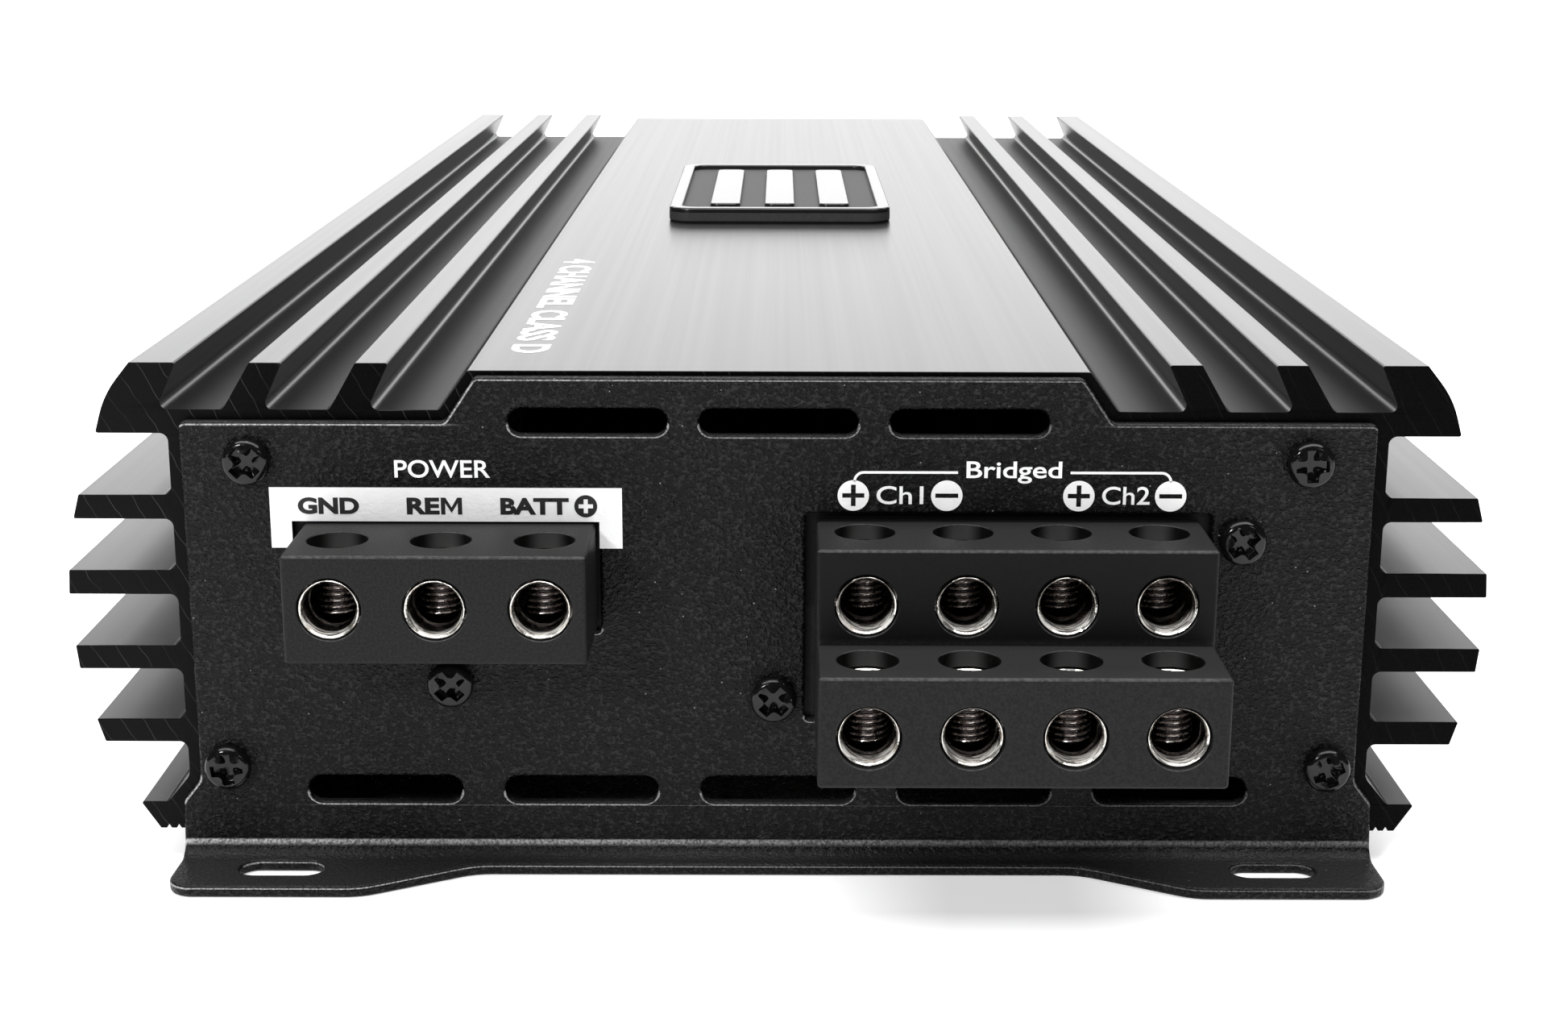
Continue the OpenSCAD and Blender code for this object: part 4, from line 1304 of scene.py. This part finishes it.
# Outer rings with a rolled lip, white cores in them and a hollow contact in each core
jack_shell = [(4, 17.5), (4, 8.2), (4.1, 8.2), (4.15, 8.15), (4.15, 0.5), (4.05, 0.15), (3.9, 0),
              (3.75, 0.1), (3.6, 0.5), (3.6, 17.5)]
jack_core = [(3.6, 16.5), (3.6, 0.4), (3.45, 0.1), (3.2, 0), (2.6, 0), (2.4, 0.15), (2.3, 0.4),
             (2.3, 16.5)]
jack_contact = [(0, 15), (2.3, 15), (2.3, 0.2), (2.15, 0), (1.85, 0), (1.7, 0.2), (1.7, 10.5),
                (0, 10.5)]


def rca_housing():
    half_width = 14.5
    low = (rca_x - half_width, plate_t + 0.2, board_top)
    high = (rca_x + half_width, plate_t + 11.2, 46.5)
    collars = at_jacks([(0, 0), (4.4, 0), (4.6, 0.08), (4.7, 0.3), (4.7, 3), (0, 3)], -0.8)
    body = boolean(block(low, high, 0.4), collars, "UNION")
    holes = at_jacks([(0, -2), (4, -2), (4, 8), (0, 8)], 0)
    return cut(body, holes, pilot_hole(rca_x, sum(rca_rows) / 2))


piece("rca_housing", rca_housing(), BLACK_PLASTIC,
      replaces=["rca_jack_housing"], place=AT_REAR)
piece("rca_rings", at_jacks(jack_shell, -rca_out, closed=True), NICKEL,
      replaces=["rca_jack_shells"], place=AT_REAR)
piece("rca_cores", at_jacks(jack_core, 1 - rca_out, closed=True), WHITE_PLASTIC,
      replaces=["rca_jack_insulators"], place=AT_REAR)
piece("rca_centre_contacts", at_jacks(jack_contact, 1.5 - rca_out, 32), NICKEL,
      replaces=["rca_jack_contacts"], place=AT_REAR)


knob_len, knob_gap, knob_shaft = 7.2, 0.6, 6.0
knob_top = -knob_gap - knob_len


def knob():
    """Ribbed knob on its shaft, with a pointer groove that points up at rest."""
    r, ribs, shaft_end = 4.8, 24, knob_len + knob_gap + knob_shaft

    def ribbed(base, depth):
        return lambda a: base - depth * (0.5 + 0.5 * math.cos(ribs * a)) ** 3

    rings = [(0, 0.25), (3.4, 0.15), (3.9, 0), (r - 0.45, 0), (r - 0.15, 0.12), (r - 0.02, 0.4),
             (ribbed(r, 0.0), 0.9), (ribbed(r, 0.35), 1.3), (ribbed(r, 0.35), 5.6),
             (ribbed(r, 0.0), 6.0), (r, 6.9), (r - 0.25, knob_len), (2, knob_len),
             (2, shaft_end - 0.3), (1.7, shaft_end), (0, shaft_end)]
    body = moved(spun(rings, 96), INWARD, shift(y=knob_top))
    groove = block((-0.4, knob_top - 1, 0.6), (0.4, knob_top + 0.6, r + 1), 0.15, 2)
    return cut(body, groove)


def knob_mark():
    return block((-0.32, knob_top + 0.42, 0.8), (0.32, knob_top + 0.62, 4.3), 0.05, 1)


knob_master, mark_master = knob(), knob_mark()
for node, (x, z) in knob_places.items():
    place = AT_REAR @ shift(x, 0, z)
    piece(node + "_ribbed", knob_master.copy(), BLACK_PLASTIC, body=node,
          replaces=[node], place=place)
    piece(node + "_pointer", mark_master.copy(), WHITE_INK, body=node, place=place)


def lever():
    """Switch lever with three grip grooves across its end."""
    body = block((-1.2, -2.5, -1.1), (1.2, 5, 1.1), 0.2)
    grooves = [block((x - 0.15, -3, -2), (x + 0.15, -2.2, 2)) for x in (-0.6, 0, 0.6)]
    return cut(body, *grooves)


lever_master = lever()
for node, (x, z) in lever_places.items():
    piece(node + "_grooved", lever_master.copy(), WHITE_PLASTIC, body=node,
          replaces=[node], place=AT_REAR @ shift(x, 0, z))


def lamp(z):
    r, length, proud = 1.5, 9.9, 1.3
    dome = [(0, 0)] + [(r * math.sin(math.radians(a)), r - r * math.cos(math.radians(a)))
                       for a in range(15, 91, 15)]
    rings = dome + [(r, length), (0, length)]
    return moved(spun(rings, 32), INWARD, shift(led_x, -proud, z))


piece("power_lamp", lamp(knob_rows[0]), LED_BLUE, replaces=["power_led"],
      place=AT_REAR)
piece("protect_lamp", lamp(knob_rows[1]), LED_RED, replaces=["protect_led"],
      place=AT_REAR)


def centred(text, x, z, width, height=1.9):
    return lettering(text, x - width / 2, x + width / 2, z - height / 2, z + height / 2)


def dial_ticks(cx, cz):
    """Short marks round a knob from seven o'clock to five o'clock."""
    out = []
    for i in range(11):
        a = math.radians(90 + 140 - 28 * i)
        tick = [(cx + r * math.cos(a), cz + r * math.sin(a)) for r in (5.5, 6.2)]
        out.append(printed(ribbon(tick, 0.3)))
    return out


rear_print = [
    centred("INPUT", rca_x, 51.3, 9), centred("L", rca_x - 7, 46.9, 1.1, 1.7),
    centred("R", rca_x + 7, 46.9, 1.3, 1.7),
    centred("LEVEL", -16, 51.3, 8), centred("FREQ", 0, 51.3, 7), centred("X-OVER", 17, 51.3, 9),
    centred("MODE", 33, 51.3, 7.5), centred("POWER", led_x, 43.4, 8, 1.7),
    centred("PROTECT", led_x, 28.4, 10, 1.7), centred("BASS", 33, 32.3, 6, 1.5),
]
for x, z in knob_places.values():
    rear_print += dial_ticks(x, z)
piece("rear_legend", joined(*rear_print), WHITE_INK, place=AT_REAR,
      even=False)


# ---------------------------------------------------------------- carried-over CAD nodes
kept_looks = {
    "potentiometer_bodies": POT_BLUE, "slide_switch_bodies": BRIGHT_STEEL,
    "main_circuit_board": BOARD, "control_board": BOARD, "board_connector": BLACK_PLASTIC,
    "board_standoffs": BRIGHT_STEEL, "board_screws": BRIGHT_STEEL, "transformer_core": FERRITE,
    "transformer_winding": RING_WINDING, "input_choke_core": FERRITE,
    "input_choke_winding": COIL_WINDING, "input_capacitors": SLEEVE, "rail_capacitors": SLEEVE,
    "power_transistors": EPOXY, "thermal_pads": PADS, "transistor_clamp_bars": BRIGHT_STEEL,
    "clamp_bar_screws": BRIGHT_STEEL, "fuse_holders": BLACK_PLASTIC, "blade_fuses": FUSE_YELLOW,
    "output_inductors": RING_WINDING, "integrated_circuits": EPOXY,
}
for node, material in kept_looks.items():
    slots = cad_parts[node].data.materials
    slots.clear()
    slots.append(material)


# ---------------------------------------------------------------- floor, lights and camera
def pale_floor():
    reach = 6.0
    mesh = bpy.data.meshes.new("floor")
    mesh.from_pydata([(-reach, -reach, 0), (reach, -reach, 0), (reach, reach, 0),
                      (-reach, reach, 0)], [], [(0, 1, 2, 3)])
    look = Look("pale_floor", grey(0.86), 0.7, specular=0.2)
    look.colour(look.mix(look.noise(0.004), grey(0.84), grey(0.88)))
    look.shader.inputs["Emission Color"].default_value = (1, 1, 1, 1)
    look.shader.inputs["Emission Strength"].default_value = 0.44
    mesh.materials.append(look.material)
    floor = bpy.data.objects.new("floor", mesh)
    bpy.context.scene.collection.objects.link(floor)


def softbox(name, place, target, width, height, brightness):
    """A rectangular light of even brightness, whatever its size."""
    light = bpy.data.lights.new(name, "AREA")
    light.shape = "RECTANGLE"
    light.size, light.size_y = width, height
    light.energy = brightness * math.pi * width * height
    lamp_object = bpy.data.objects.new(name, light)
    bpy.context.scene.collection.objects.link(lamp_object)
    way = Vector(target) - Vector(place)
    lamp_object.rotation_euler = way.to_track_quat("-Z", "Y").to_euler()
    lamp_object.location = place
    lamp_object.visible_camera = False


def studio():
    pale_floor()
    world = bpy.data.worlds.new("studio")
    world.use_nodes = True
    backdrop = world.node_tree.nodes["Background"]
    backdrop.inputs["Color"].default_value = (1, 1, 1, 1)
    backdrop.inputs["Strength"].default_value = 0.06
    bpy.context.scene.world = world
    terminals = (0, -0.16, 0.03)
    softbox("back_light", (0, 1.9, 0.47), (0, 0, 0.06), 1.7, 0.66, 2.3)
    softbox("far_light", (0, 2.7, 2.4), (0, 2.7, 0), 6, 2.4, 3.4)
    softbox("near_light", (0, -0.5, 2.0), (0, -0.5, 0), 3.2, 1.4, 5.5)
    softbox("key_light", (-0.6, -1.15, 0.66), terminals, 0.16, 0.16, 90.0)
    softbox("right_light", (0.7, -1.2, 0.6), terminals, 0.15, 0.2, 6.0)
    bpy.context.scene.view_settings.view_transform = "Standard"


def photo_camera():
    """The camera stands in front of the terminals and looks down at them."""
    camera = bpy.data.cameras.new("camera")
    camera.sensor_width = 36
    camera.lens = 52.93
    camera.clip_start, camera.clip_end = 0.01, 50
    holder = bpy.data.objects.new("camera", camera)
    place, turn, down, roll = (0.09, -422.05, 113.70), -0.12, 14.6, 0.194
    holder.matrix_world = (Matrix.Translation(Vector(place) * MM) @ spin(turn)
                           @ spin(90 - down, "X") @ spin(roll))
    bpy.context.scene.collection.objects.link(holder)
    bpy.context.scene.camera = holder


studio()
photo_camera()
